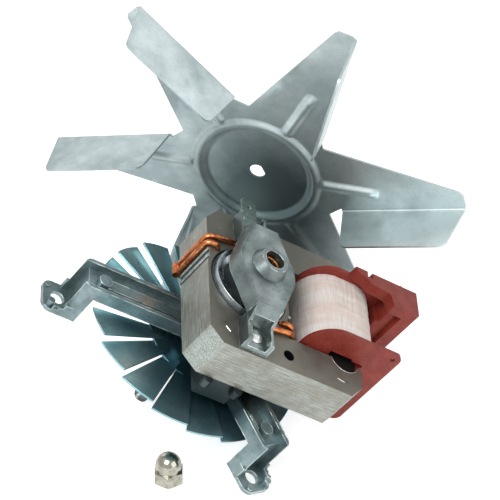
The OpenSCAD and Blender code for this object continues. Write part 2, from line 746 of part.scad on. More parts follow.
blade_points = [fold_in, fold_out, fold_out + [0.2, 1.9], tip_lead + [1.6, -1.3],
                tip_lead + [0.4, -0.2], tip_lead + [-1.3, 0.2],
                [notch_r * cos(notch_a), notch_r * sin(notch_a)]];
blade_start = 57.8;

// Upward direction of the bench as the wheel sees it, and the lift that stands its lowest corner there
wheel_up = [-sin(wheel_turn[1]), cos(wheel_turn[1]) * sin(wheel_turn[0]),
            cos(wheel_turn[1]) * cos(wheel_turn[0])];
flap_tip = fold_out - (fold_out - fold_in) * (3.2 / fold_l);
wheel_rims = [for (a = [0 : wheel_step : 360 - wheel_step]) each concat(
    [for (p = blade_points, z = [0, wheel_t]) concat(turned(p, blade_start + a), z)],
    [concat(turned(flap_tip, blade_start + a), flap_h - 2)])];
wheel_lift = -min([for (p = wheel_rims) wheel_up * p]);

function turned(p, a) = [p[0] * cos(a) - p[1] * sin(a), p[0] * sin(a) + p[1] * cos(a)];

module wheel_outline() {
    // The star of blades, each with its straight fold, its small tip corners and a notch after it
    polygon([for (i = [0 : wheel_blades - 1]) for (p = blade_points)
        turned(p, blade_start + i * wheel_step)]);
}

module blade_flap() {
    // The edge of the blade folded square to it, with slanted ends and small corner cuts
    translate([fold_in[0], fold_in[1], 0]) rotate([0, 0, fold_a])
        translate([0, wheel_t + 0.1, wheel_t / 2]) rotate([90, 0, 0]) linear_extrude(wheel_t)
            polygon([[0.5, 0], [fold_l - 0.3, 0], [fold_l - 3.2, flap_h - 2.4], [fold_l - 5.4, flap_h - 0.4],
                     [7.6, flap_h - 0.4], [5.6, flap_h - 2.4], [2.8, flap_h * 0.5]]);
}

rib_l = 17.5;

module rib_bar(r, h) {
    // A rounded bar along the blade, sunk so that only its back stands out
    translate([bead_r + 4.9, -0.8, h - r]) rotate([0, 90, 0]) {
        cylinder(r = r, h = rib_l, $fn = 24);
        translate([0, 0, rib_l]) cylinder(r1 = r, r2 = r * 0.5, h = 1.8, $fn = 24);
        translate([0, 0, -1.8]) cylinder(r1 = r * 0.5, r2 = r, h = 1.8, $fn = 24);
    }
}

module fan_wheel() {
    rib_h = 1.6;
    bead_h = 1.2;
    color("#8f999b")
    translate([rest_place[0] + wheel_offset[0], rest_place[1] + wheel_offset[1], wheel_lift])
    rotate(wheel_turn) difference() {
        union() {
            difference() {
                union() {
                    linear_extrude(wheel_t) wheel_outline();
                    for (i = [0 : wheel_blades - 1]) rotate([0, 0, blade_start - i * wheel_step]) {
                        blade_flap();
                        intersection() {
                            rib_bar(2.8, rib_h + wheel_t);
                            translate([bead_r + 2, -8, 0.2]) cube([40, 16, 8]);
                        }
                    }
                }
                for (i = [0 : wheel_blades - 1]) rotate([0, 0, blade_start - i * wheel_step])
                    rib_bar(2.8 - wheel_t * 0.7, rib_h + wheel_t * 0.3);
                translate([0, 0, -2]) cylinder(r = bead_r + 2.4, h = 8, $fn = 72);
            }
            rotate_extrude($fn = 72) polygon([[0, bead_h - hub_depth], [bead_r - 3.4, bead_h - hub_depth],
                [bead_r - 0.9, bead_h], [bead_r + 0.5, bead_h], [bead_r + 2.4, 0],
                [bead_r + 2.6, 0], [bead_r + 2.6, wheel_t], [bead_r + 0.9, bead_h + wheel_t],
                [bead_r - 1.3, bead_h + wheel_t], [bead_r - 3.7, bead_h - hub_depth + wheel_t],
                [0, bead_h - hub_depth + wheel_t]]);
        }
        translate([0, 0, -6]) difference() {
            cylinder(r = hub_hole_r, h = 12, $fn = 40);
            rotate([0, 0, 20]) translate([flat_depth + 0.1, -5, -1]) cube([5, 10, 14]);
        }
    }
}

// The domed nut

module dome_nut() {
    dome_r = nut_af * 0.475;
    color("#d9d6cd") translate([rest_place[0] + nut_offset[0], rest_place[1] + nut_offset[1], 0])
    difference() {
        union() {
            intersection() {
                rotate([0, 0, 30]) cylinder(d = nut_af / cos(30), h = nut_hex_h, $fn = 6);
                cylinder(r1 = nut_af * 0.53 + nut_hex_h * 1.8, r2 = nut_af * 0.53, h = nut_hex_h, $fn = 72);
                cylinder(r1 = nut_af * 0.53, r2 = nut_af * 0.53 + nut_hex_h * 1.8, h = nut_hex_h, $fn = 72);
            }
            cylinder(r = dome_r - 0.1, h = nut_h - dome_r, $fn = 60);
            translate([0, 0, nut_h - dome_r]) sphere(r = dome_r, $fn = 60);
        }
        translate([0, 0, -1]) cylinder(r = shaft_r - 0.5, h = nut_h - 2, $fn = 40);
        translate([0, 0, -0.01]) cylinder(r1 = shaft_r + 0.1, r2 = shaft_r - 0.5, h = 0.6, $fn = 40);
    }
}

module lying() {
    // The motor's own frame laid down on the bench
    translate([rest_place[0], rest_place[1], rest_lift]) rotate(rest_turn) children();
}

lying() lamination_stack();
lying() yoke_bar();
lying() bobbin();
lying() coil_winding();
lying() coil_tape();
lying() supply_tab(tab_a_x);  // supply_tab_a
lying() supply_tab(tab_b_x);  // supply_tab_b
lying() shading_ring(outer_ring, 0);  // shading_ring_a
lying() shading_ring(inner_ring, 0);  // shading_ring_b
lying() shading_ring(outer_ring, 180);  // shading_ring_c
lying() shading_ring(inner_ring, 180);  // shading_ring_d
lying() front_bridge();
lying() bearing(front_bearing_z);  // front_bearing
lying() felt_ring(front_bearing_z);  // front_felt_ring
lying() bearing_clip(front_bearing_z);  // front_bearing_clip
lying() rear_bracket();
lying() bearing(rear_bearing_z);  // rear_bearing
lying() translate([0, 0, rear_bearing_z]) mirror([0, 0, 1]) felt_ring(0);  // rear_felt_ring
lying() translate([0, 0, rear_bearing_z]) mirror([0, 0, 1]) bearing_clip(0);  // rear_bearing_clip
lying() rivet(-1, pocket_floor);  // rivet_lower
lying() rivet(1, pocket_floor + tab_t);  // rivet_upper
lying() earth_tab();
lying() shaft();
lying() rotor_core();
lying() rotor_cage();
lying() thrust_washer(front_bearing_low - washer_t - 0.1);  // front_thrust_washer
lying() thrust_washer(rear_bearing_high + 0.1);  // rear_thrust_washer
lying() cooling_fan();
lying() cooling_fan_hub();
fan_wheel();
dome_nut();
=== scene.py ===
import json
import math

import bmesh
import bpy
from mathutils import Euler, Matrix, Vector, noise
from mathutils.geometry import delaunay_2d_cdt


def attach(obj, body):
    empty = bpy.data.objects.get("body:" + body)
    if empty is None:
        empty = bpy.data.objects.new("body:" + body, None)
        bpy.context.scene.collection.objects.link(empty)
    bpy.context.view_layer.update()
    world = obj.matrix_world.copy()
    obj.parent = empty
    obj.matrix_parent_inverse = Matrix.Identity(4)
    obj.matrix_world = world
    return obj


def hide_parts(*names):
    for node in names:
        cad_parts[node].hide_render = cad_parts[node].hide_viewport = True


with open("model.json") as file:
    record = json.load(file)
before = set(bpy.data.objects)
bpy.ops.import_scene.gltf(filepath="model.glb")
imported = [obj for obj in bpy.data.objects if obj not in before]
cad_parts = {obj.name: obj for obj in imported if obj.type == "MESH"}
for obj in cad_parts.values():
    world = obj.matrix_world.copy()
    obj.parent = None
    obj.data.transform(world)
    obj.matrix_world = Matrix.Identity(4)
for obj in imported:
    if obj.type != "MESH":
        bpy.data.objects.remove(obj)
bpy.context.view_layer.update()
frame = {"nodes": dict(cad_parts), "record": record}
mm = 0.001


# A piece's own frame, from its origin in metres and its turns in degrees
def placeAt(origin, turns):
    return Matrix.Translation(Vector(origin)) @ Euler([math.radians(a) for a in turns]).to_matrix().to_4x4()


# The motor lies tilted on the bench: its own frame has the shaft along Z and the front lamination
# face at zero, and every detail below is drawn there in millimetres
lies = {"motorTurn": (13.87, 33.44, 10.2), "wheelRight": 3.1, "wheelBehind": 62.2, "wheelHeight": 71.97,
        "wheelTurn": (98.55, -3.6, -19)}
spin = next(j for j in frame["record"]["behaviour"]["joints"] if j["name"] == "rotor_spin")
motorPlace = placeAt(spin["pos_m"], lies["motorTurn"])
# The wheel's own frame has the hub's hole along Z, with the folded flaps towards +Z
wheelPlace = placeAt((spin["pos_m"][0] + lies["wheelRight"] * mm, spin["pos_m"][1] + lies["wheelBehind"] * mm,
                      lies["wheelHeight"] * mm), lies["wheelTurn"])


# Materials

# The linear colour of an sRGB hex value
def linear(hexColour):
    channels = [int(hexColour[i:i + 2], 16) / 255 for i in (1, 3, 5)]
    return [c / 12.92 if c <= 0.04045 else ((c + 0.055) / 1.055) ** 2.4 for c in channels] + [1]


# Adds a node with its settings and links; kinds not given in full are shader nodes
def addNode(tree, kind, settings=None, links=None):
    node = tree.nodes.new(kind if "Node" in kind else "ShaderNode" + kind)
    for name, value in (settings or {}).items():
        if isinstance(name, int) or name in node.inputs:
            node.inputs[name].default_value = value
        else:
            setattr(node, name, value)
    for name, source in (links or {}).items():
        tree.links.new(source, node.inputs[name])
    return node


# A Principled material with plain values on its sockets
def newMaterial(name, colour, metallic, roughness, **sockets):
    material = bpy.data.materials.new(name)
    material.use_nodes = True
    tree = material.node_tree
    shader = tree.nodes["Principled BSDF"]
    shader.inputs["Base Color"].default_value = linear(colour)
    shader.inputs["Metallic"].default_value = metallic
    shader.inputs["Roughness"].default_value = roughness
    for socket, value in sockets.items():
        shader.inputs[socket.replace("_", " ")].default_value = value
    return material, tree, shader


# Object coordinates in millimetres, turned into a piece's own frame where one is given
def millimetres(tree, place=None):
    point = addNode(tree, "TexCoord").outputs["Object"]
    if place is not None:
        moved = addNode(tree, "VectorMath", {"operation": "SUBTRACT", 1: place.to_translation()}, {0: point})
        point = addNode(tree, "VectorRotate", {"rotation_type": "EULER_XYZ", "invert": True,
                        "Rotation": place.to_euler()}, {"Vector": moved.outputs[0]}).outputs[0]
    scaled = addNode(tree, "VectorMath", {"operation": "SCALE", "Scale": 1000}, {0: point})
    return scaled.outputs[0]


# A new object, linked into the scene
def newObject(name, data):
    made = bpy.data.objects.new(name, data)
    bpy.context.scene.collection.objects.link(made)
    return made


# Feeds one of a shader's sockets from a field or colour
def feed(shader, source, socket="Base Color"):
    shader.id_data.links.new(source, shader.inputs[socket])


# Coordinates stretched along an axis, so that a pattern runs in streaks
def stretched(point, scale):
    return addNode(point.id_data, "VectorMath", {"operation": "MULTIPLY", 1: scale}, {0: point}).outputs[0]


# Noise whose lumps are about size millimetres across
def noiseField(point, size, detail=4, roughness=0.55, colour=False):
    scales = {"Scale": 1 / size, "Detail": detail, "Roughness": roughness}
    node = addNode(point.id_data, "TexNoise", scales, {"Vector": point})
    return node.outputs["Color" if colour else "Fac"]


# Maps a range of a field to another, clamped
def spread(value, low, high, toLow=0.0, toHigh=1.0):
    limits = {1: low, 2: high, 3: toLow, 4: toHigh}
    return addNode(value.id_data, "MapRange", limits, {0: value}).outputs[0]


# Mixes two colours, given as hex values or sockets, by a field
def blendColours(factor, first, second):
    mix = addNode(factor.id_data, "Mix", {"data_type": "RGBA"}, {0: factor})
    for index, colour in ((6, first), (7, second)):
        if isinstance(colour, str):
            mix.inputs[index].default_value = linear(colour)
        else:
            factor.id_data.links.new(colour, mix.inputs[index])
    return mix.outputs[2]


# Bump of so many millimetres
def addBump(shader, height, depth, strength=1.0, below=None):
    links = {"Height": height, "Normal": below} if below else {"Height": height}
    bump = addNode(shader.id_data, "Bump", {"Strength": strength, "Distance": depth * mm}, links)
    feed(shader, bump.outputs[0], "Normal")
    return bump.outputs[0]


# A field that is 1 in a circle seen along Z, and fades to 0 at the outer radius
def insideCircle(point, centre, radius, outer=None):
    tree = point.id_data
    offset = addNode(tree, "VectorMath", {"operation": "SUBTRACT", 1: (centre[0], centre[1], 0)}, {0: point})
    flat = addNode(tree, "VectorMath", {"operation": "MULTIPLY", 1: (1, 1, 0)}, {0: offset.outputs[0]})
    length = addNode(tree, "VectorMath", {"operation": "LENGTH"}, {0: flat.outputs[0]}).outputs["Value"]
    return spread(length, radius, outer or radius + 0.12, 1.0, 0.0)


# Die-cast alloy: cloudy grey with darker flow marks, a dull skin and fine grain. Painted shade is given by
# its centre, the two radii between which it fades, and its colour
def castMetal(name, light, dark, stained, metallic, paintedShade=None):
    material, tree, shader = newMaterial(name, light, metallic, 0.36)
    point = millimetres(tree, motorPlace)
    # 9 mm clouds from the metal's flow in the die, and 2.2 mm stains in the skin
    clouds = spread(noiseField(point, 9, 5, 0.6), 0.35, 0.68)
    stains = spread(noiseField(point, 2.2, 5, 0.6), 0.54, 0.8)
    base = blendColours(clouds, dark, light)
    base = blendColours(stains, base, stained)
    # Painted shade: darker round a centre, where the piece lies below the stack
    if paintedShade:
        base = blendColours(insideCircle(point, paintedShade[0], paintedShade[1], paintedShade[2]), base, paintedShade[3])
    feed(shader, base)
    feed(shader, spread(clouds, 0, 1, 0.42, 0.27), "Roughness")
    # 0.35 mm grain and shallow 4 mm waves, so that highlights break up
    grain = addBump(shader, noiseField(point, 0.35, 3), 0.035)
    addBump(shader, noiseField(point, 4, 2), 0.12, 0.6, grain)
    return material


# Sheared sheet edges: fine lines across the stack, a warm oxide and dark specks. The outer sheet has its
# height and two colours, the holes painted near black as shade their centres and radii, and the struck
# corner with its painted glints is given as painted shade is
def laminationSteel(name, lighter, darker, rust, front=None, shadedHoles=(), scuffAndGlints=None):
    material, tree, shader = newMaterial(name, lighter, 0.6, 0.5)
    point = millimetres(tree, motorPlace)
    # Streaks 6 mm long and 0.5 mm high, one for each sheet, tell the sheets apart
    streaks = noiseField(stretched(point, (0.16, 0.16, 2.0)), 1.0, 3)
    clouds = spread(noiseField(point, 7, 4), 0.35, 0.7)
    base = blendColours(spread(streaks, 0.35, 0.65), darker, lighter)
    base = blendColours(clouds, base, rust)
    specks = spread(noiseField(point, 0.8, 5, 0.7), 0.6, 0.72)
    base = blendColours(specks, base, "#5b564d")
    if scuffAndGlints:
        # A corner that took knocks has light flecks of about 0.45 mm: scuffed metal with painted glints
        flecks = spread(noiseField(point, 0.45, 4, 0.7), 0.42, 0.66)
        near = insideCircle(point, scuffAndGlints[0], scuffAndGlints[1], scuffAndGlints[2])
        shine = addNode(tree, "Math", {"operation": "MULTIPLY"}, {0: flecks, 1: near}).outputs[0]
        base = blendColours(shine, base, scuffAndGlints[3])
    if front:
        height = addNode(tree, "SeparateXYZ", {}, {0: point}).outputs[2]
        mottled = blendColours(noiseField(point, 12, 5, 0.6), front[1], front[2])
        mottled = blendColours(specks, mottled, "#4c463e")
        base = blendColours(spread(height, front[0] - 0.1, front[0]), base, mottled)
    # Painted shade: near black inside each hole
    for centre, radius in shadedHoles:
        base = blendColours(insideCircle(point, centre, radius), base, "#141718")
    feed(shader, base)
    feed(shader, spread(streaks, 0.3, 0.7, 0.36, 0.62), "Roughness")
    addBump(shader, noiseField(point, 0.5, 4), 0.03)
    return material


# Rolled sheet with a zinc skin: crystal patches, rolling lines and painted shade over the middle, which
# reaches from one radius to another round a centre
def sheetMetal(name, light, dark, shadeAndGrain, place, spangle, reach, roughness, sideLight):
    material, tree, shader = newMaterial(name, light, 0.9, roughness)
    point = millimetres(tree, place)
    # Zinc crystals some millimetres across, each only a shade lighter or darker than the next
    warped = addNode(tree, "TexNoise", {"Scale": 0.5, "Detail": 2}, {"Vector": point}).outputs["Color"]
    strayed = addNode(tree, "VectorMath", {"operation": "MULTIPLY_ADD", 1: (2, 2, 2)}, {0: warped, 2: point})
    cells = addNode(tree, "TexVoronoi", {"Scale": 1 / spangle, "Randomness": 1.0, "feature": "SMOOTH_F1"},
                    {"Vector": strayed.outputs[0]}).outputs["Color"]
    tone = addNode(tree, "SeparateColor", {}, {0: cells}).outputs[0]
    clouds = noiseField(point, 26, 5, 0.55)
    both = addNode(tree, "Math", {"operation": "MULTIPLY_ADD", 1: 0.12}, {0: tone, 2: clouds}).outputs[0]
    # Painted light: a little brighter towards one side
    sideways = addNode(tree, "SeparateXYZ", {}, {0: point}).outputs[0]
    both = addNode(tree, "Math", {"operation": "MULTIPLY_ADD", 1: sideLight}, {0: sideways, 2: both}).outputs[0]
    base = blendColours(spread(both, 0.35, 0.75), dark, light)
    # The painted shade over the middle has an edge that strays by up to 10 mm, and 1.3 mm grains of its
    # colour lie all over
    stray = 20.0
    drift = addNode(tree, "VectorMath", {"operation": "SCALE", "Scale": stray},
                    {0: noiseField(point, 20, 4, 0.6, colour=True)}).outputs[0]
    strayed = addNode(tree, "VectorMath", {"operation": "SUBTRACT", 1: [stray / 2] * 3}, {0: drift})
    strayed = addNode(tree, "VectorMath", {"operation": "ADD"}, {0: strayed.outputs[0], 1: point}).outputs[0]
    base = blendColours(insideCircle(strayed, reach[2], reach[0], reach[1]), base, shadeAndGrain)
    grains = spread(noiseField(point, 1.3, 3, 0.6), 0.5, 0.85, 0.0, 0.22)
    feed(shader, blendColours(grains, base, shadeAndGrain))
    # Rolling lines 0.25 mm apart and 10 mm long carry the soft streaks in the shine
    lines = noiseField(stretched(point, (4.0, 0.1, 1.0)), 1.0, 3)
    rough = addNode(tree, "Math", {"operation": "MULTIPLY_ADD", 1: 0.16}, {0: lines, 2: spread(
        both, 0.3, 1.0, roughness + 0.06, roughness - 0.1)}).outputs[0]
    feed(shader, rough, "Roughness")
    fine = addBump(shader, lines, 0.006)
    addBump(shader, noiseField(point, 11, 2), 0.25, 0.5, fine)
    return material


# Glass-filled nylon: matt brick red with paler swirls and a grained skin
def mouldedPlastic():
    material, tree, shader = newMaterial("bobbinPlastic", "#7c3026", 0.0, 0.42, Specular_IOR_Level=0.22)
    point = millimetres(tree)
    # 5 mm swirls from the moulding and 0.6 mm flecks of fibre
    swirls = spread(noiseField(point, 5, 5, 0.6), 0.35, 0.7)
    flecks = spread(noiseField(stretched(point, (1, 3, 1)), 0.6, 3), 0.56, 0.75)
    base = blendColours(swirls, "#6b221a", "#80342a")
    feed(shader, blendColours(flecks, base, "#934537"))
    addBump(shader, noiseField(point, 0.3, 3), 0.02)
    return material


# Glass-cloth tape: off-white with a fine weave, through which the copper shows pinkish
def wovenTape():
    material, tree, shader = newMaterial("coilTape", "#e6dfda", 0.0, 0.62)
    point = millimetres(tree, motorPlace)
    # Pinkish bands round the coil, 3 mm wide, where the copper shows through the pulled cloth
    bands = noiseField(stretched(point, (0.05, 0.34, 0.05)), 1.0, 4, 0.6)
    bands = spread(bands, 0.45, 0.75)
    # Creases 0.8 mm wide that run along the coil
    creases = spread(noiseField(stretched(point, (1.2, 0.1, 1.2)), 1.0, 4), 0.42, 0.75)
    base = blendColours(bands, "#d9d3ce", "#cdb5aa")
    feed(shader, blendColours(creases, base, "#c6b9b1"))
    # A 0.5 mm weave in both directions
    warp = addNode(tree, "TexWave", {"Scale": 1.0, "bands_direction": "Y"},
                   {"Vector": stretched(point, (1, 0.65, 1))}).outputs["Fac"]
    weave = addBump(shader, warp, 0.03, 0.5)
    addBump(shader, creases, 0.16, 0.9, weave)
    return material


# Bare copper, bright where it was bent and brown in the dips
def copperWire():
    material, tree, shader = newMaterial("bareCopper", "#c8774a", 1.0, 0.3)
    point = millimetres(tree)
    tarnish = spread(noiseField(point, 2.2, 5, 0.65), 0.42, 0.68)
    feed(shader, blendColours(tarnish, "#cb7f52", "#7d3c20"))
    feed(shader, spread(tarnish, 0, 1, 0.24, 0.46), "Roughness")
    addBump(shader, noiseField(point, 0.7, 4), 0.04)
    return material


# Turned or ground metal with fine rings round the shaft's axis
def turnedSteel(name, colour, darker, roughness):
    material, tree, shader = newMaterial(name, colour, 1.0, roughness)
    point = millimetres(tree, motorPlace)
    # Tool rings 0.2 mm apart along the shaft
    rings = noiseField(stretched(point, (0.1, 0.1, 5)), 1.0, 3)
    feed(shader, blendColours(spread(rings, 0.35, 0.65), darker, colour))
    stains = noiseField(point, 3, 4)
    feed(shader, spread(stains, 0.35, 0.7, roughness, roughness + 0.16), "Roughness")
    addBump(shader, rings, 0.008)
    return material


# Small bright metal pieces, with faint stains and a hammered or tumbled skin
def plainMetal(name, colour, darker, roughness, grain=0.5):
    material, tree, shader = newMaterial(name, colour, 1.0, roughness)
    point = millimetres(tree)
    stains = spread(noiseField(point, 1.8, 5, 0.6), 0.4, 0.72)
    feed(shader, blendColours(stains, colour, darker))
    feed(shader, spread(stains, 0, 1, roughness, roughness + 0.14), "Roughness")
    addBump(shader, noiseField(point, grain, 3), 0.012)
    return material


# Pressed bronze powder soaked with oil: brown, with dark pores 0.3 mm apart
def sinteredBronze():
    material, tree, shader = newMaterial("sinteredBronze", "#9c6a42", 0.9, 0.38)
    point = millimetres(tree)
    pores = spread(noiseField(point, 0.3, 3), 0.55, 0.7)
    feed(shader, blendColours(pores, "#a67349", "#573a22"))
    addBump(shader, pores, 0.03)
    return material


# Oiled felt: matted 0.5 mm fibres
def feltCloth():
    material, tree, shader = newMaterial("oiledFelt", "#c9bd95", 0.0, 0.9)
    point = millimetres(tree)
    fibres = noiseField(stretched(point, (1, 2.5, 1)), 0.5, 5, 0.7)
    feed(shader, blendColours(fibres, "#9b8d62", "#dcd2ad"))
    addBump(shader, fibres, 0.12)
    return material


# Black bearing plastic with a worn sheen
def darkPlastic():
    material, tree, shader = newMaterial("washerPlastic", "#2b2b29", 0.0, 0.4)
    point = millimetres(tree)
    wear = spread(noiseField(point, 1.2, 4), 0.4, 0.7)
    feed(shader, blendColours(wear, "#232322", "#43423f"))
    addBump(shader, wear, 0.02)
    return material


looks = {
    "cast": castMetal("castBridge", "#86908f", "#5a6464", "#495353", 0.9),
    # The bracket's alloy is lighter than the bridge's, as painted light on its arms
    "bracket": castMetal("castBracket", "#88999b", "#647679", "#526265", 0.74,
                         # Painted shade: the bracket's middle below the stack is darkened
                         paintedShade=((3, -24), 13, 20, "#242e31")),
    # Near-white copy of the alloy, for painted highlights along the castings' edges
    "edgeHighlight": castMetal("castEdgeHighlight", "#bfcac9", "#8f9c9b", "#6b7877", 0.85),
    "stack": laminationSteel("stackSteel", "#a9aea7", "#7c817b", "#868379",
                             front=(-0.06, "#545751", "#7a766b"),
                             # Painted shade inside the two spare holes and the rotor's bore
                             shadedHoles=(((15.8, 25.2), 2.2), ((15.8, -25.2), 2.2), ((0, 0), 16.2)),
                             # The struck corner: scuffs and painted glints
                             scuffAndGlints=((-15, -30.5), 3.2, 5.5, "#b9c8c6")),
    # The yoke bar's front sheet sits 2.6 mm back in its seats and is painted near black as shade
    "bar": laminationSteel("barSteel", "#8f938b", "#6b6f69", "#77746a", front=(-2.6, "#22211f", "#35322d")),
    "core": laminationSteel("rotorSteel", "#6d7679", "#3f494d", "#565d5f"),
    # Both fans are painted darker round an off-centre middle, as shade
    "zincFan": sheetMetal("zincFan", "#b9d9db", "#4f8492", "#39626e", motorPlace, spangle=6,
                          # Each sheet is painted a little brighter towards one side, as light
                          reach=(14, 46, (6, -12)), roughness=0.24, sideLight=-0.002),
    "wheel": sheetMetal("wheelSheet", "#c1cccd", "#93a0a2", "#566364", wheelPlace, spangle=3.2,
                        reach=(16, 44, (3, -14)), roughness=0.36, sideLight=0.0028),
    "plastic": mouldedPlastic(),
    "tape": wovenTape(),
    "copper": copperWire(),
    "shaft": turnedSteel("groundShaft", "#7c8182", "#45494a", 0.24),
    "cage": turnedSteel("castCage", "#d3dde2", "#9fabb1", 0.2),
    "bush": turnedSteel("turnedBush", "#8d9293", "#646a6b", 0.32),
    "tinned": plainMetal("tinnedTab", "#87948f", "#6d7975", 0.34, 1.5),
    "rivet": plainMetal("peenedRivet", "#dcdedb", "#a8aaa6", 0.24, 0.9),
    "lip": plainMetal("shearedLip", "#aeb6b5", "#747b7a", 0.3, 0.9),
    "spring": plainMetal("springSteel", "#8f9494", "#65696a", 0.28),
    # The nut's plating is given darker than nickel, as painted dark reflections
    "nickel": plainMetal("nickelPlate", "#a8a599", "#7c796f", 0.1, 2.5),
    "bronze": sinteredBronze(),
    "felt": feltCloth(),
    "washer": darkPlastic(),
}
print("materials", len(looks))


# Mesh helpers

rotorNodes = set(frame["record"]["behaviour"]["bodies"]["rotor"])


# The body of a node
def bodyOf(node):
    return "rotor" if node in rotorNodes else "motor"


# Smooth faces, with the edges over the angle left sharp
def smoothByAngle(mesh, degrees):
    work = bmesh.new()
    work.from_mesh(mesh)
    for face in work.faces:
        face.smooth = True
    for edge in work.edges:
        flat = len(edge.link_faces) != 2 or edge.calc_face_angle(0) > math.radians(degrees)
        edge.smooth = not flat
    work.to_mesh(mesh)
    work.free()


# Puts a mesh into the scene as a piece of a node; place is its own frame
def addPiece(name, mesh, look, node, place=None, sharp=35, stands=True):
    if place is not None:
        mesh.transform(place @ Matrix.Scale(mm, 4))
    if sharp:
        smoothByAngle(mesh, sharp)
    mesh.materials.clear()
    mesh.materials.append(looks[look])
    piece = newObject(name, mesh)
    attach(piece, bodyOf(node))
    if stands:
        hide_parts(node)
    return piece


# A bmesh of a node's solid with its seams closed and its flat faces joined
def mergedCopy(node):
    work = bmesh.new()
    work.from_mesh(frame["nodes"][node].data)
    bmesh.ops.remove_doubles(work, verts=work.verts, dist=0.00002)
    bmesh.ops.dissolve_limit(work, angle_limit=math.radians(0.6), verts=work.verts, edges=work.edges)
    return work


# The mesh after a stack of modifiers, with none left on it
def evaluatedMesh(mesh, addModifiers):
    holder = newObject("holder", mesh)
    addModifiers(holder)
    shape = holder.evaluated_get(bpy.context.evaluated_depsgraph_get())
    made = bpy.data.meshes.new_from_object(shape)
    bpy.data.objects.remove(holder)
    return made


# A node's own shape with its edges rounded by so many millimetres
def softened(node, look, width, segments=2):
    work = mergedCopy(node)
    mesh = bpy.data.meshes.new(node)
    work.to_mesh(mesh)
    work.free()
    smoothByAngle(mesh, 32)

    def roundEdges(holder):
        bevel = holder.modifiers.new("edges", "BEVEL")
        bevel.width = width * mm
        bevel.segments = segments
        bevel.limit_method = "ANGLE"
        bevel.angle_limit = math.radians(40)
        bevel.miter_outer = "MITER_ARC"
        flatFaces = holder.modifiers.new("normals", "WEIGHTED_NORMAL")
        flatFaces.keep_sharp = True

    return addPiece(node + "_dressed", evaluatedMesh(mesh, roundEdges), look, node, sharp=None)


# A mesh from plain lists of points in millimetres and faces
def meshFrom(name, points, faces):
    mesh = bpy.data.meshes.new(name)
    mesh.from_pydata([tuple(p) for p in points], [], faces)
    mesh.validate()
    return mesh


# Turns a mesh's faces outwards, once its doubles are merged, and then rounds its edges
def outwardFaces(mesh, merge=0, rounding=0):
    work = bmesh.new()
    work.from_mesh(mesh)
    if merge:
        bmesh.ops.remove_doubles(work, verts=work.verts, dist=merge)
    bmesh.ops.recalc_face_normals(work, faces=work.faces)
    if rounding:
        bmesh.ops.bevel(work, geom=work.edges, offset=rounding, segments=2, affect="EDGES", profile=0.5)
    work.to_mesh(mesh)
    work.free()
    return mesh


# Faces between rows of points that each close on themselves, with a cap at both ends
def bandFaces(rows, sides, first=0, capped=True):
    faces = []
    for j in range(rows - 1):
        low, high = first + j * sides, first + (j + 1) * sides
        for k in range(sides):
            nextK = (k + 1) % sides
            faces.append((low + k, low + nextK, high + nextK, high + k))
    if capped:
        last = first + (rows - 1) * sides
        faces += [tuple(range(first, first + sides))[::-1], tuple(range(last, last + sides))]
    return faces


# Adds another shape to lists of points and faces
def addShape(points, faces, shape):
    faces += [tuple(i + len(points) for i in face) for face in shape[1]]
    points += shape[0]


# Cosine and sine at equal steps round a circle
def circle(sides):
    turns = [2 * math.pi * k / sides for k in range(sides)]
    return [(math.cos(a), math.sin(a)) for a in turns]


# A point of the plane turned about the origin
def rotated(x, y, angle):
    c, s = math.cos(angle), math.sin(angle)
    return x * c - y * s, x * s + y * c


bead = {"sides": 6, "sunk": 0.2, "leastAngle": 38, "leastLength": 0.15, "step": 2.0, "overlap": 0.06,
        "width": 0.85, "vary": 0.5, "waves": 0.45, "stackBottom": -12}


# A painted highlight: a bright bead along each edge of a casting that stands proud
def highlightBeads(node, radius, shadeReach=0):
    work = mergedCopy(node)
    points, faces, sides = [], [], bead["sides"]
    toMotor = (motorPlace @ Matrix.Scale(mm, 4)).inverted()
    for edge in work.edges:
        if len(edge.link_faces) != 2 or edge.calc_face_angle_signed(0) < math.radians(bead["leastAngle"]):
            continue
        start, end = (v.co / mm for v in edge.verts)
        length = (end - start).length
        if length < bead["leastLength"]:
            continue
        outward = (edge.link_faces[0].normal + edge.link_faces[1].normal).normalized()
        along = (end - start) / length
        across = along.cross(outward)
        steps = max(1, round(length / bead["step"]))
        for j in range(steps):
            ends = (start + along * (length * j / steps - bead["overlap"]),
                    start + along * (length * (j + 1) / steps + bead["overlap"]))
            middle = toMotor @ ((ends[0] + ends[1]) * (mm / 2))
            # No beads on the edges close below the stack, where the bracket is painted dark as shade
            if middle.y < bead["stackBottom"] and middle.xy.length < shadeReach:
                continue
            faces += bandFaces(2, sides, len(points))
            for centre in ends:
                wide = radius * (bead["width"] + bead["vary"] * noise.noise(centre * bead["waves"]))
                for c, s in circle(sides):
                    points.append(centre - outward * bead["sunk"] + (outward * c + across * s) * wide)
    work.free()
    mesh = meshFrom(node, points, faces)
    mesh.transform(Matrix.Scale(mm, 4))
    addPiece(node + "_edge_highlight", mesh, "edgeHighlight", node, sharp=60, stands=False)


# A tube with closed ends along a path of points, with rings square to the path
def tubeAlong(path, radius, sides=16, wobble=0.0):
    points = []
    count = len(path)
    normal = Vector((0.3, 0.5, 0.8))
    for i, centre in enumerate(path):
        ahead = (path[min(i + 1, count - 1)] - path[max(i - 1, 0)]).normalized()
        normal = (normal - ahead * normal.dot(ahead)).normalized()
        across = ahead.cross(normal)
        for k, (c, s) in enumerate(circle(sides)):
            grow = radius * (1 + wobble * noise.noise(centre * 0.6 + Vector((k * 0.3, 0, 0))))
            points.append(centre + (normal * c + across * s) * grow)
    return points, bandFaces(count, sides)


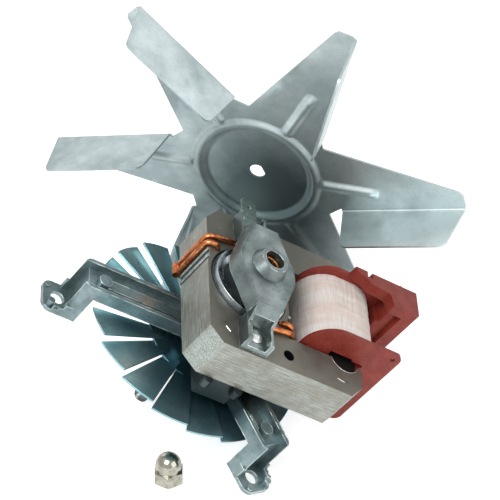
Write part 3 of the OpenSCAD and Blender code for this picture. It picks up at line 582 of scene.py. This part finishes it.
# A path through corners, each turned with an arc
def roundedPath(corners, radius, steps=6):
    path = [corners[0]]
    for before, corner, after in zip(corners, corners[1:], corners[2:]):
        toBefore, toAfter = (before - corner), (after - corner)
        cut = min(radius, toBefore.length * 0.48, toAfter.length * 0.48)
        start = corner + toBefore.normalized() * cut
        end = corner + toAfter.normalized() * cut
        for s in range(steps + 1):
            t = s / steps
            path.append(start.lerp(corner, t).lerp(corner.lerp(end, t), t))
    path.append(corners[-1])
    return path


# Laminations: thin sheets, each a hair out of line with the next

laminations = {"pitch": 0.5, "thickness": 0.46, "offset": 0.035}


# The node's front face repeated as single sheets by geometry nodes
def layeredSheets(node, look, seed):
    source = mergedCopy(node)
    source.transform(Matrix.Scale(1000, 4) @ motorPlace.inverted())
    source.normal_update()
    top = max(v.co.z for v in source.verts)
    count = round((top - min(v.co.z for v in source.verts)) / laminations["pitch"])
    keep = [f for f in source.faces if f.normal.z > 0.99 and abs(f.calc_center_median().z - top) < 0.02]
    plate = bmesh.new()
    seen = {}
    for face in keep:
        corners = []
        for vert in face.verts:
            if vert.index not in seen:
                seen[vert.index] = plate.verts.new((vert.co.x, vert.co.y, 0))
            corners.append(seen[vert.index])
        plate.faces.new(corners)
    source.free()
    mesh = bpy.data.meshes.new(node)
    plate.to_mesh(mesh)
    plate.free()

    group = bpy.data.node_groups.new("sheets_" + node, "GeometryNodeTree")
    group.interface.new_socket("Geometry", in_out="OUTPUT", socket_type="NodeSocketGeometry")
    for label, kind in (("Geometry", "Geometry"), ("Sheets", "Int"), ("Pitch", "Float"), ("Offset", "Float"),
                        ("Seed", "Int")):
        group.interface.new_socket(label, in_out="INPUT", socket_type="NodeSocket" + kind)
    enter = addNode(group, "NodeGroupInput").outputs
    down = addNode(group, "Math", {"operation": "MULTIPLY", 1: -1}, {0: enter["Pitch"]}).outputs[0]
    step = addNode(group, "CombineXYZ", {}, {2: down}).outputs[0]
    line = addNode(group, "GeometryNodeMeshLine", {}, {"Count": enter["Sheets"], "Offset": step}).outputs[0]
    high = addNode(group, "CombineXYZ", {}, {0: enter["Offset"], 1: enter["Offset"]}).outputs[0]
    low = addNode(group, "VectorMath", {"operation": "SCALE", "Scale": -1}, {0: high}).outputs[0]
    shift = addNode(group, "FunctionNodeRandomValue", {"data_type": "FLOAT_VECTOR"},
                    {"Min": low, "Max": high, "Seed": enter["Seed"]}).outputs[0]
    move = addNode(group, "GeometryNodeSetPosition", {}, {"Geometry": line, "Offset": shift}).outputs[0]
    depth = {"Individual": False, "Offset Scale": -laminations["thickness"]}
    thick = addNode(group, "GeometryNodeExtrudeMesh", depth, {"Mesh": enter["Geometry"]}).outputs["Mesh"]
    joined = addNode(group, "GeometryNodeJoinGeometry", {}, {0: thick})
    group.links.new(enter["Geometry"], joined.inputs[0])
    stack = addNode(group, "GeometryNodeInstanceOnPoints", {},
                    {"Points": move, "Instance": joined.outputs[0]}).outputs[0]
    real = addNode(group, "GeometryNodeRealizeInstances", {}, {0: stack}).outputs[0]
    paint = addNode(group, "GeometryNodeSetMaterial", {"Material": looks[look]}, {"Geometry": real})
    addNode(group, "NodeGroupOutput", {}, {0: paint.outputs[0]})

    def repeat(holder):
        modifier = holder.modifiers.new("sheets", "NODES")
        modifier.node_group = group
        values = {"Sheets": count, "Pitch": laminations["pitch"], "Offset": laminations["offset"],
                  "Seed": seed}
        for item in group.interface.items_tree:
            if item.name in values:
                modifier[item.identifier] = values[item.name]

    mesh.transform(Matrix.Translation((0, 0, top)))
    return addPiece(node + "_sheets", evaluatedMesh(mesh, repeat), look, node, motorPlace, 25)


layeredSheets("lamination_stack", "stack", 3)
layeredSheets("yoke_bar", "bar", 8)

# Stamping marks on the front sheet, and the burr round the yoke bar's seats
marks = {"r": 0.26, "z": -0.06, "burrR": 0.13, "burrFrom": 17, "burrTurn": 146, "burrSteps": 32,
         "seatX": 41.1, "seatY": 15.0, "seatR": 6.36,
         "bright": (((-10.7, -23.6), (-8.9, -25.3)), ((36.9, -26.1), (39.9, -26.8)),
                    ((-11.7, 22.9), (-11.3, 23.1))),
         "dark": (((-11.2, -21.9), (-11.1, -22.3)), ((-7.7, -26.3), (-7.5, -26.6)),
                  ((41.0, -26.0), (41.7, -26.5)))}


# Short rods sunk to their middle in the front sheet
def stampingMarks(name, pairs, look):
    points, faces = [], []
    for start, end in pairs:
        addShape(points, faces, tubeAlong([Vector((*start, marks["z"])), Vector((*end, marks["z"]))],
                                          marks["r"], 10))
    addPiece(name, meshFrom(name, points, faces), look, "lamination_stack", motorPlace, stands=False)


# The raised edge left by the press round each seat of the bar, drawn near-white as a painted highlight
def seatBurr():
    points, faces = [], []
    for side in (-1, 1):
        path = []
        for k in range(marks["burrSteps"] + 1):
            a = math.radians(side * (marks["burrFrom"] + marks["burrTurn"] * k / marks["burrSteps"]))
            path.append(Vector((marks["seatX"] + marks["seatR"] * math.cos(a),
                                side * marks["seatY"] + marks["seatR"] * math.sin(a), 0.0)))
        addShape(points, faces, tubeAlong(path, marks["burrR"], 8))
    addPiece("seat_burr", meshFrom("burr", points, faces), "rivet", "lamination_stack", motorPlace,
             stands=False)


# Each row has its middle's height, and how far it reaches from the shaft inside and outside
lips = {"rows": ((10.1, -16.25, -17.55), (6.8, -16.7, -17.7)), "half": 0.62, "r": 0.3, "chamfer": 0.1,
        "front": 0.12, "back": -18.1, "step": 0.25, "nick": 0.05, "wander": 0.06, "waves": 0.7}


# Two bright steps that the press leaves beside each ring slot, with a nick at every sheet
def slotLips():
    points, faces = [], []
    half, r, chamfer = lips["half"], lips["r"], lips["chamfer"]
    levels = [lips["front"] - lips["step"] * k
              for k in range(int((lips["front"] - lips["back"]) / lips["step"]) + 1)]
    for turn in (0, math.pi):
        for y, inner, outer in lips["rows"]:
            section = [(inner, y - half), (outer + r, y - half), (outer + chamfer, y - half + chamfer),
                       (outer, y - half + r), (outer, y + half - r), (outer + chamfer, y + half - chamfer),
                       (outer + r, y + half), (inner, y + half)]
            faces += bandFaces(len(levels), len(section), len(points))
            for j, z in enumerate(levels):
                nick = lips["nick"] * (j % 2)
                nick += lips["wander"] * noise.noise(Vector((y, z * lips["waves"], turn)))
                points += [(*rotated(x + nick, v, turn), z) for x, v in section]
    addPiece("slot_lips", outwardFaces(meshFrom("lips", points, faces)), "lip", "lamination_stack",
             motorPlace, 50, stands=False)


slotLips()
stampingMarks("bright_marks", marks["bright"], "rivet")
stampingMarks("dark_marks", marks["dark"], "washer")
seatBurr()
softened("rotor_core", "core", 0.15)
softened("rotor_cage", "cage", 0.4)
print("laminations")


# Shading rings: bent copper loops

ring = {"r": 1.1, "front": 1.15, "back": -19.15, "bend": 2.6, "join": 8,
        "weldR": 1.5, "weldX": -0.3, "weldPast": 0.9,
        "outer": ((-17.9, 15.5), (-5.2, 17.45)), "inner": ((-17.9, 12.5), (-12.9, 11.9))}


# One loop of wire through the stack, with round bends at its four corners
def shadingRing(node, legs, side):
    (x0, y0), (x1, y1) = legs
    turn = Matrix.Rotation(math.radians(side), 3, "Z")
    corners = [turn @ Vector(p) for p in (
        (x0, y0, ring["back"] + ring["join"]), (x0, y0, ring["front"]), (x1, y1, ring["front"]),
        (x1, y1, ring["back"]), (x0, y0, ring["back"]), (x0, y0, ring["back"] + ring["join"]))]
    points, faces = tubeAlong(roundedPath(corners, ring["bend"]), ring["r"], 16, 0.05)
    if legs == ring["outer"]:
        # The weld that closes both wires of a pole behind the stack
        weldX, innerY = x0 + ring["weldX"], ring["inner"][0][1]
        addShape(points, faces, tubeAlong([turn @ Vector((weldX, y0 + ring["weldPast"], ring["back"])),
                                           turn @ Vector((weldX, innerY - ring["weldPast"], ring["back"]))],
                                          ring["weldR"], 14, 0.2))
    addPiece(node + "_wire", meshFrom(node, points, faces), "copper", node, motorPlace)


for letter, legs, side in (("a", "outer", 0), ("b", "inner", 0), ("c", "outer", 180), ("d", "inner", 180)):
    shadingRing("shading_ring_" + letter, ring[legs], side)
print("shading rings")


# Coil: tape wound over the copper

coil = {"x0": 22.7, "x1": 53.2, "zMid": -9.0, "halfDepth": 18.0, "halfHeight": 14.5, "r": 11.6,
        "bands": 4, "step": 0.14, "crease": 0.16, "slack": 0.25, "sunk": 0.1, "thick": 0.35,
        "rows": 58, "spacing": 1.2}


# Points round a rectangle with round corners, seen along Y
def roundedSection(x0, x1, z0, z1, r, arcSteps=14):
    section = []
    for cx, cz, start in ((x1 - r, z1 - r, 0), (x0 + r, z1 - r, 90), (x0 + r, z0 + r, 180),
                          (x1 - r, z0 + r, 270)):
        for k in range(arcSteps + 1):
            a = math.radians(start + 90 * k / arcSteps)
            section.append((cx + r * math.cos(a), cz + r * math.sin(a), math.cos(a), math.sin(a)))
    return section


# The wound tape: overlapping bands with slack creases along the coil
def coilTape():
    z0, z1 = coil["zMid"] - coil["halfDepth"], coil["zMid"] + coil["halfDepth"]
    base = roundedSection(coil["x0"], coil["x1"], z0, z1, coil["r"])
    section = []
    for i, here in enumerate(base):
        after = base[(i + 1) % len(base)]
        gap = math.dist(here[:2], after[:2])
        pieces = max(1, round(gap / coil["spacing"]))
        for k in range(pieces):
            t = k / pieces
            section.append(tuple(a + (b - a) * t for a, b in zip(here, after)))
    rows, high = coil["rows"], coil["halfHeight"]
    points, faces = [], []
    for j in range(rows + 1):
        y = -high + 2 * high * j / rows
        for i, (x, z, nx, nz) in enumerate(section):
            band = ((y + high) / (2 * high) * coil["bands"] + i / len(section)) % 1
            lap = coil["step"] * (1 - band) - coil["step"]
            crease = coil["crease"] * noise.noise(Vector((x * 0.5, y * 0.06, z * 0.5)))
            swell = -coil["slack"] * (abs(y) / high) ** 6
            push = lap + crease - coil["sunk"] + swell
            points.append((x + nx * push, y, z + nz * push))
    n = len(section)
    for j in range(rows):
        for i in range(n):
            k = (i + 1) % n
            faces.append((j * n + i, (j + 1) * n + i, (j + 1) * n + k, j * n + k))
    mesh = meshFrom("tape", points, faces)

    def thicken(holder):
        shell = holder.modifiers.new("sheet", "SOLIDIFY")
        shell.thickness = coil["thick"]
        shell.offset = -1
    addPiece("coil_tape_wound", evaluatedMesh(mesh, thicken), "tape", "coil_tape", motorPlace, 60)


coilTape()
softened("coil_winding", "copper", 0.3)
softened("bobbin", "plastic", 0.28)


lining = {"low": 6.9, "high": 15.0, "rounding": 0.25,
          "plan": ((60.7, 11.2), (56.3, 11.2), (56.3, 3.6), (54.6, 3.6), (54.6, -14.0), (60.7, -14.0))}


# The ledge and inner wall in the connector's box
def boxLining():
    plan, low, high = lining["plan"], lining["low"], lining["high"]
    points = [(x, low, z) for x, z in plan] + [(x, high, z) for x, z in plan]
    n = len(plan)
    faces = [tuple(range(n)), tuple(range(2 * n - 1, n - 1, -1))]
    faces += [(k, (k + 1) % n, (k + 1) % n + n, k + n) for k in range(n)]
    mesh = outwardFaces(meshFrom("lining", points, faces), rounding=lining["rounding"])
    addPiece("box_lining", mesh, "plastic", "bobbin", motorPlace, 35, stands=False)


boxLining()
softened("supply_tab_a", "tinned", 0.12)
softened("supply_tab_b", "tinned", 0.12)
print("coil")


# Castings, bearings and rivets

softened("front_bridge", "cast", 0.45, segments=3)
# Painted highlights along the castings' proud edges
highlightBeads("front_bridge", 0.21)
softened("rear_bracket", "bracket", 0.4, segments=3)
highlightBeads("rear_bracket", 0.24, 37)
for end in ("front", "rear"):
    softened(end + "_bearing", "bronze", 0.3)
    softened(end + "_felt_ring", "felt", 0.3)
    softened(end + "_bearing_clip", "spring", 0.08)
    softened(end + "_thrust_washer", "washer", 0.1)

rivet = {"headR": 3.0, "headHeight": 1.35, "shankR": 1.58, "sides": 40, "dent": 0.06,
         "tail": ((2.9, 0), (2.6, -0.8), (1.6, -1.15), (0, -1.2))}


# A shank with a domed head in front and a spread tail behind
def peenedRivet(node, y, seat, tail):
    turns = [math.radians(a) for a in range(0, 91, 10)]
    profile = [(rivet["headR"] * math.sin(a), seat + rivet["headHeight"] * math.cos(a)) for a in turns]
    profile += [(rivet["headR"], seat), (rivet["shankR"], seat), (rivet["shankR"], tail)]
    profile += [(r, tail + drop) for r, drop in rivet["tail"]]
    sides = rivet["sides"]
    points = []
    for r, z in profile:
        for c, s in circle(sides):
            x, v = r * c, r * s + y
            points.append((x, v, z + rivet["dent"] * noise.noise(Vector((x, v, z)) * 0.9)))
    mesh = outwardFaces(meshFrom(node, points, bandFaces(len(profile), sides, capped=False)), merge=0.001)
    addPiece(node + "_peened", mesh, "rivet", node, motorPlace)


peenedRivet("rivet_lower", -25.2, 2.0, -22.8)
peenedRivet("rivet_upper", 25.2, 2.8, -22.8)
softened("earth_tab", "tinned", 0.14)
print("castings")


# Rotor: threaded shaft and cooling fan

shaft = {"r": 3.0, "end": -72.4, "front": 10.0, "chamfer": 0.4, "sides": 48, "row": 0.12,
         "thread": 9.0, "pitch": 1.0, "depth": 0.45, "crest": 0.08, "lead": 0.8,
         "flatEnd": -55.4, "flat": 2.5, "plain": (-40.0, 0.0)}


# The ground shaft with its flatted seat and the thread cut on its end
def threadedShaft():
    sides = shaft["sides"]
    heights = [shaft["end"] + shaft["row"] * k for k in range(int(shaft["thread"] / shaft["row"]) + 1)]
    heights += [shaft["end"] + shaft["thread"] + 0.15, shaft["flatEnd"] - 0.01, shaft["flatEnd"] + 0.01,
                *shaft["plain"], shaft["front"] - 0.5, shaft["front"]]
    points = []
    for z in heights:
        into = z - shaft["end"]
        for k, (c, s) in enumerate(circle(sides)):
            r = shaft["r"]
            if into < shaft["thread"]:
                phase = (into / shaft["pitch"] + k / sides) % 1
                r -= shaft["crest"] + shaft["depth"] * abs(2 * phase - 1)
                r = min(r, shaft["r"] - shaft["lead"] + into)
            elif z >= shaft["front"]:
                r -= shaft["chamfer"]
            x = r * c
            if z < shaft["flatEnd"]:
                x = min(x, shaft["flat"])
            points.append((x, r * s, z))
    mesh = meshFrom("shaft", points, bandFaces(len(heights), sides))
    addPiece("shaft_threaded", mesh, "shaft", "shaft", motorPlace)


threadedShaft()
softened("cooling_fan", "zincFan", 0.12)
softened("cooling_fan_hub", "bush", 0.3)
print("rotor")


# Fan wheel and domed nut

wheel = {"sheet": 0.8, "start": 57.8, "blades": 6, "beadR": 23.4, "beadH": 1.2, "dish": -1.0, "wave": 0.14,
         "ribHalf": 3.0, "ribH": 1.4, "ribV": -0.8, "ribFrom": 23.6, "ribTo": 48.2,
         "holeR": 3.1, "holeFlat": 2.6, "holeTurn": 20, "holeSides": 40,
         "foldIn": (33.0, -13.3), "foldOut": (81.5, -2.1), "inset": 1.9,
         "tips": ((80.0, 5.0), (78.8, 6.1), (77.1, 6.5)), "notch": (27.09, 16.66)}
# The points of the sheet's mesh: rings with radius and count, rows along each rib, and a wide grid
wheelMesh = {"rings": [(5, 30), (8, 48), (11, 60), (14, 72), (17, 84), (18.6, 96)]
             + [(19.2 + 0.45 * k, 120) for k in range(17)] + [(27.6, 96), (29.4, 80)],
             "ribFrom": 27.1, "ribStep": 0.8, "ribRows": 29, "ribAcross": 0.42, "ribSide": 8,
             "grid": 4, "gridSide": 20, "gridFrom": 31}
flap = {"height": 21.4, "bendR": 1.1, "land": 0.5, "cornerR": 2.2, "columns": 24, "bow": 1.6,
        "rows": (4, 7, 10, 13, 16, 18, 19.2, 19.8, 20.3, 20.8, 21.1, 21.3, 21.4),
        "inner": {"gap": 0.4, "lean": 5.0, "corner": 1.3}, "outer": {"gap": 0.3, "lean": 2.9, "corner": 1.1}}


# A smooth step from 0 to 1
def eased(t):
    t = min(1.0, max(0.0, t))
    return t * t * (3 - 2 * t)


# The angle at which a blade stands
def bladeTurn(i):
    return math.radians(wheel["start"] - i * 360 / wheel["blades"])


# The start, direction and length of a blade's fold
def foldLine():
    (inX, inY), (outX, outY) = wheel["foldIn"], wheel["foldOut"]
    length = math.hypot(outX - inX, outY - inY)
    return inX, inY, (outX - inX) / length, (outY - inY) / length, length


# Height of the pressed sheet's lower side: dish, bead and the rib along each blade
def pressedHeight(x, y):
    r = math.hypot(x, y)
    if r < wheel["beadR"]:
        height = wheel["dish"] + (wheel["beadH"] - wheel["dish"]) * eased((r - wheel["beadR"] + 4.0) / 3.7)
    else:
        height = wheel["beadH"] * (1 - eased((r - wheel["beadR"] - 0.2) / 2.6))
    for i in range(wheel["blades"]):
        u, v = rotated(x, y, -bladeTurn(i))
        v -= wheel["ribV"]
        if wheel["ribFrom"] < u < wheel["ribTo"] and abs(v) < wheel["ribHalf"]:
            across = 0.5 + 0.5 * math.cos(math.pi * v / wheel["ribHalf"])
            along = eased((u - wheel["ribFrom"]) / 2.5) * (1 - eased((u - wheel["ribTo"] + 3.4) / 3.4))
            height = max(height, wheel["ribH"] * across * along)
    fade = eased((r - 27) / 12)
    return height + fade * wheel["wave"] * noise.noise(Vector((x * 0.07, y * 0.07, 0)))


# The star of blades as a flat outline, with each fold's edge set back for its bend
def starOutline():
    inX, inY, ex, ey, _ = foldLine()
    outX, outY = wheel["foldOut"]
    nx, ny = -ey * wheel["inset"], ex * wheel["inset"]
    blade = [(inX + nx, inY + ny), (outX + nx, outY + ny), *wheel["tips"], wheel["notch"]]
    return [rotated(x, y, bladeTurn(-i)) for i in range(wheel["blades"]) for x, y in blade]


# The pressed star, meshed finely where it is embossed
def pressedStar():
    outline = starOutline()
    holeR, holeFlat, holeTurn = wheel["holeR"], wheel["holeFlat"], math.radians(wheel["holeTurn"])
    hole = [rotated(min(holeR * c, holeFlat), holeR * s, holeTurn) for c, s in circle(wheel["holeSides"])]
    inside = []
    for r, count in wheelMesh["rings"]:
        inside += [(r * c, r * s) for c, s in circle(count)]
    ribSide, gridSide, grid = wheelMesh["ribSide"], wheelMesh["gridSide"], wheelMesh["grid"]
    for i in range(wheel["blades"]):
        for j in range(wheelMesh["ribRows"]):
            for k in range(-ribSide, ribSide + 1):
                inside.append(rotated(wheelMesh["ribFrom"] + wheelMesh["ribStep"] * j,
                                      wheel["ribV"] + wheelMesh["ribAcross"] * k, bladeTurn(i)))
    for j in range(-gridSide, gridSide + 1):
        for k in range(-gridSide, gridSide + 1):
            if math.hypot(grid * j, grid * k) > wheelMesh["gridFrom"]:
                inside.append((grid * j + 0.13, grid * k + 0.07))
    flat = [Vector(p) for p in outline + hole + inside]
    n, m = len(outline), len(hole)
    edges = [(i, (i + 1) % n) for i in range(n)] + [(n + i, n + (i + 1) % m) for i in range(m)]
    flatPoints, _, triangles, *_ = delaunay_2d_cdt(flat, edges, [tuple(range(n))], 1, 0.001)
    kept = []
    for tri in triangles:
        cx = sum(flatPoints[i].x for i in tri) / 3
        cy = sum(flatPoints[i].y for i in tri) / 3
        if math.hypot(cx, cy) > holeR or rotated(cx, cy, -holeTurn)[0] > holeFlat:
            kept.append(tuple(tri))
    used = sorted({i for tri in kept for i in tri})
    index = {old: new for new, old in enumerate(used)}
    lower = [(*flatPoints[i], pressedHeight(*flatPoints[i])) for i in used]
    upper = [(x, y, z + wheel["sheet"]) for x, y, z in lower]
    count = len(used)
    faces, rims = [], {}
    for tri in kept:
        a, b, c = (index[i] for i in tri)
        faces += [(a + count, b + count, c + count), (c, b, a)]
        for pair in ((a, b), (b, c), (c, a)):
            if (pair[1], pair[0]) in rims:
                del rims[(pair[1], pair[0])]
            else:
                rims[pair] = True
    faces += [(a, b, b + count, a + count) for a, b in rims]
    return lower + upper, faces


# One blade's folded edge: a bend out of the sheet, and the flap with round corners
def foldedFlap(i):
    inX, inY, ex, ey, length = foldLine()
    half, bendR, top = wheel["sheet"] / 2, flap["bendR"], flap["height"]
    land, cornerR = flap["land"], flap["cornerR"]
    # Each row has its place across the fold, its height and the way its face looks
    rows = [(land + bendR + 0.5, half, 0.0, 1.0), (land + bendR, half, 0.0, 1.0)]
    for k in range(1, 7):
        c, s = math.cos(math.radians(15 * k)), math.sin(math.radians(15 * k))
        rows.append((land + bendR - bendR * s, half + bendR - bendR * c, s, c))
    rows += [(land, z, 1.0, 0.0) for z in flap["rows"]]
    columns = flap["columns"]
    points = []
    for side in (1, -1):
        for across, z, ny, nz in rows:
            corner = cornerR - math.sqrt(max(0.0, cornerR ** 2 - max(0.0, z - top + cornerR) ** 2))
            inner, outer = (flap[end]["gap"] + flap[end]["lean"] * z / top + corner * flap[end]["corner"]
                            for end in ("inner", "outer"))
            for k in range(columns + 1):
                along = inner + (length - outer - inner) * k / columns
                bow = noise.noise(Vector((along * 0.06, z * 0.08, i))) * eased(z / 9)
                offset = across + side * half * ny + wheel["wave"] * flap["bow"] * bow
                x, y = rotated(inX + ex * along - ey * offset, inY + ey * along + ex * offset, bladeTurn(i))
                points.append((x, y, z + side * half * nz))
    width, layer = columns + 1, len(rows) * (columns + 1)
    faces = []
    for j in range(len(rows) - 1):
        for k in range(columns):
            a = j * width + k
            faces += [(a, a + 1, a + 1 + width, a + width),
                      (layer + a, layer + a + width, layer + a + 1 + width, layer + a + 1)]
    rim = list(range(width)) + [j * width + columns for j in range(1, len(rows))]
    rim += [(len(rows) - 1) * width + k for k in range(columns - 1, -1, -1)]
    rim += [j * width for j in range(len(rows) - 2, 0, -1)]
    faces += [(b, a, a + layer, b + layer) for a, b in zip(rim, rim[1:] + rim[:1])]
    return points, faces


# The whole wheel, pressed and folded from one sheet
def pressedWheel():
    points, faces = pressedStar()
    for i in range(wheel["blades"]):
        addShape(points, faces, foldedFlap(i))
    addPiece("fan_wheel_pressed", outwardFaces(meshFrom("wheel", points, faces)), "wheel", "fan_wheel",
             wheelPlace, 40)


pressedWheel()
softened("dome_nut", "nickel", 0.25, segments=3)
print("wheel and nut")


# Floor, lights and camera

lamps = {"key": (420, 4.6, (-200, -440, 640), (0, 0, 50)), "fill": (500, 1.4, (520, -420, 300), (0, 0, 50)),
         "backLeft": (520, 0.55, (-280, 560, 440), (0, 20, 70)),
         "backRight": (520, 0.6, (600, 340, 350), (0, 20, 70))}


# A square lamp turned to a point, both in millimetres
def addLamp(name, size, energy, place, aim):
    data = bpy.data.lights.new(name, "AREA")
    data.size = size * mm
    data.energy = energy
    lamp = newObject(name, data)
    lamp.location = Vector(place) * mm
    lamp.rotation_euler = (Vector(aim) * mm - lamp.location).to_track_quat("-Z", "Y").to_euler()


# A plain floor that stays nearly as light as the background
def paleFloor():
    mesh = meshFrom("floor", [(-3, -3, 0), (3, -3, 0), (3, 3, 0), (-3, 3, 0)], [(0, 1, 2, 3)])
    floor = newObject("floor", mesh)
    floor.location.z = -0.0004
    mesh.materials.append(newMaterial("floorPaint", "#f4f4f4", 0.0, 0.8, Emission_Strength=0.62)[0])


# White behind the object, and a softer grey room for its light and reflections
def studioWorld():
    world = bpy.data.worlds.new("studio")
    world.use_nodes = True
    tree = world.node_tree
    path = addNode(tree, "LightPath")
    room = tree.nodes["Background"]
    room.inputs["Color"].default_value = linear("#ffffff")
    room.inputs["Strength"].default_value = 0.36
    white = addNode(tree, "Background", {"Color": linear("#ffffff"), "Strength": 1.0})
    seen = path.outputs["Is Camera Ray"]
    for ray in ("Is Glossy Ray", "Is Transmission Ray"):
        seen = addNode(tree, "Math", {"operation": "MAXIMUM"}, {0: seen, 1: path.outputs[ray]}).outputs[0]
    mix = addNode(tree, "MixShader", {}, {0: seen, 1: room.outputs[0], 2: white.outputs[0]})
    tree.links.new(mix.outputs[0], tree.nodes["World Output"].inputs[0])
    bpy.context.scene.world = world


paleFloor()
studioWorld()
for lampName, lampValues in lamps.items():
    addLamp(lampName, *lampValues)
bpy.context.scene.view_settings.view_transform = "Standard"

view = {"lens": 146.51, "sensor": 36, "place": (0.38, -585.34, 425.64), "tilt": 55, "reach": 20}
cameraData = bpy.data.cameras.new("camera")
cameraData.lens = view["lens"]
cameraData.sensor_width = view["sensor"]
cameraData.clip_end = view["reach"]
camera = newObject("camera", cameraData)
camera.location = Vector(spin["pos_m"]) + Vector(view["place"]) * mm
camera.rotation_euler = (math.radians(view["tilt"]), 0, 0)
bpy.context.scene.camera = camera
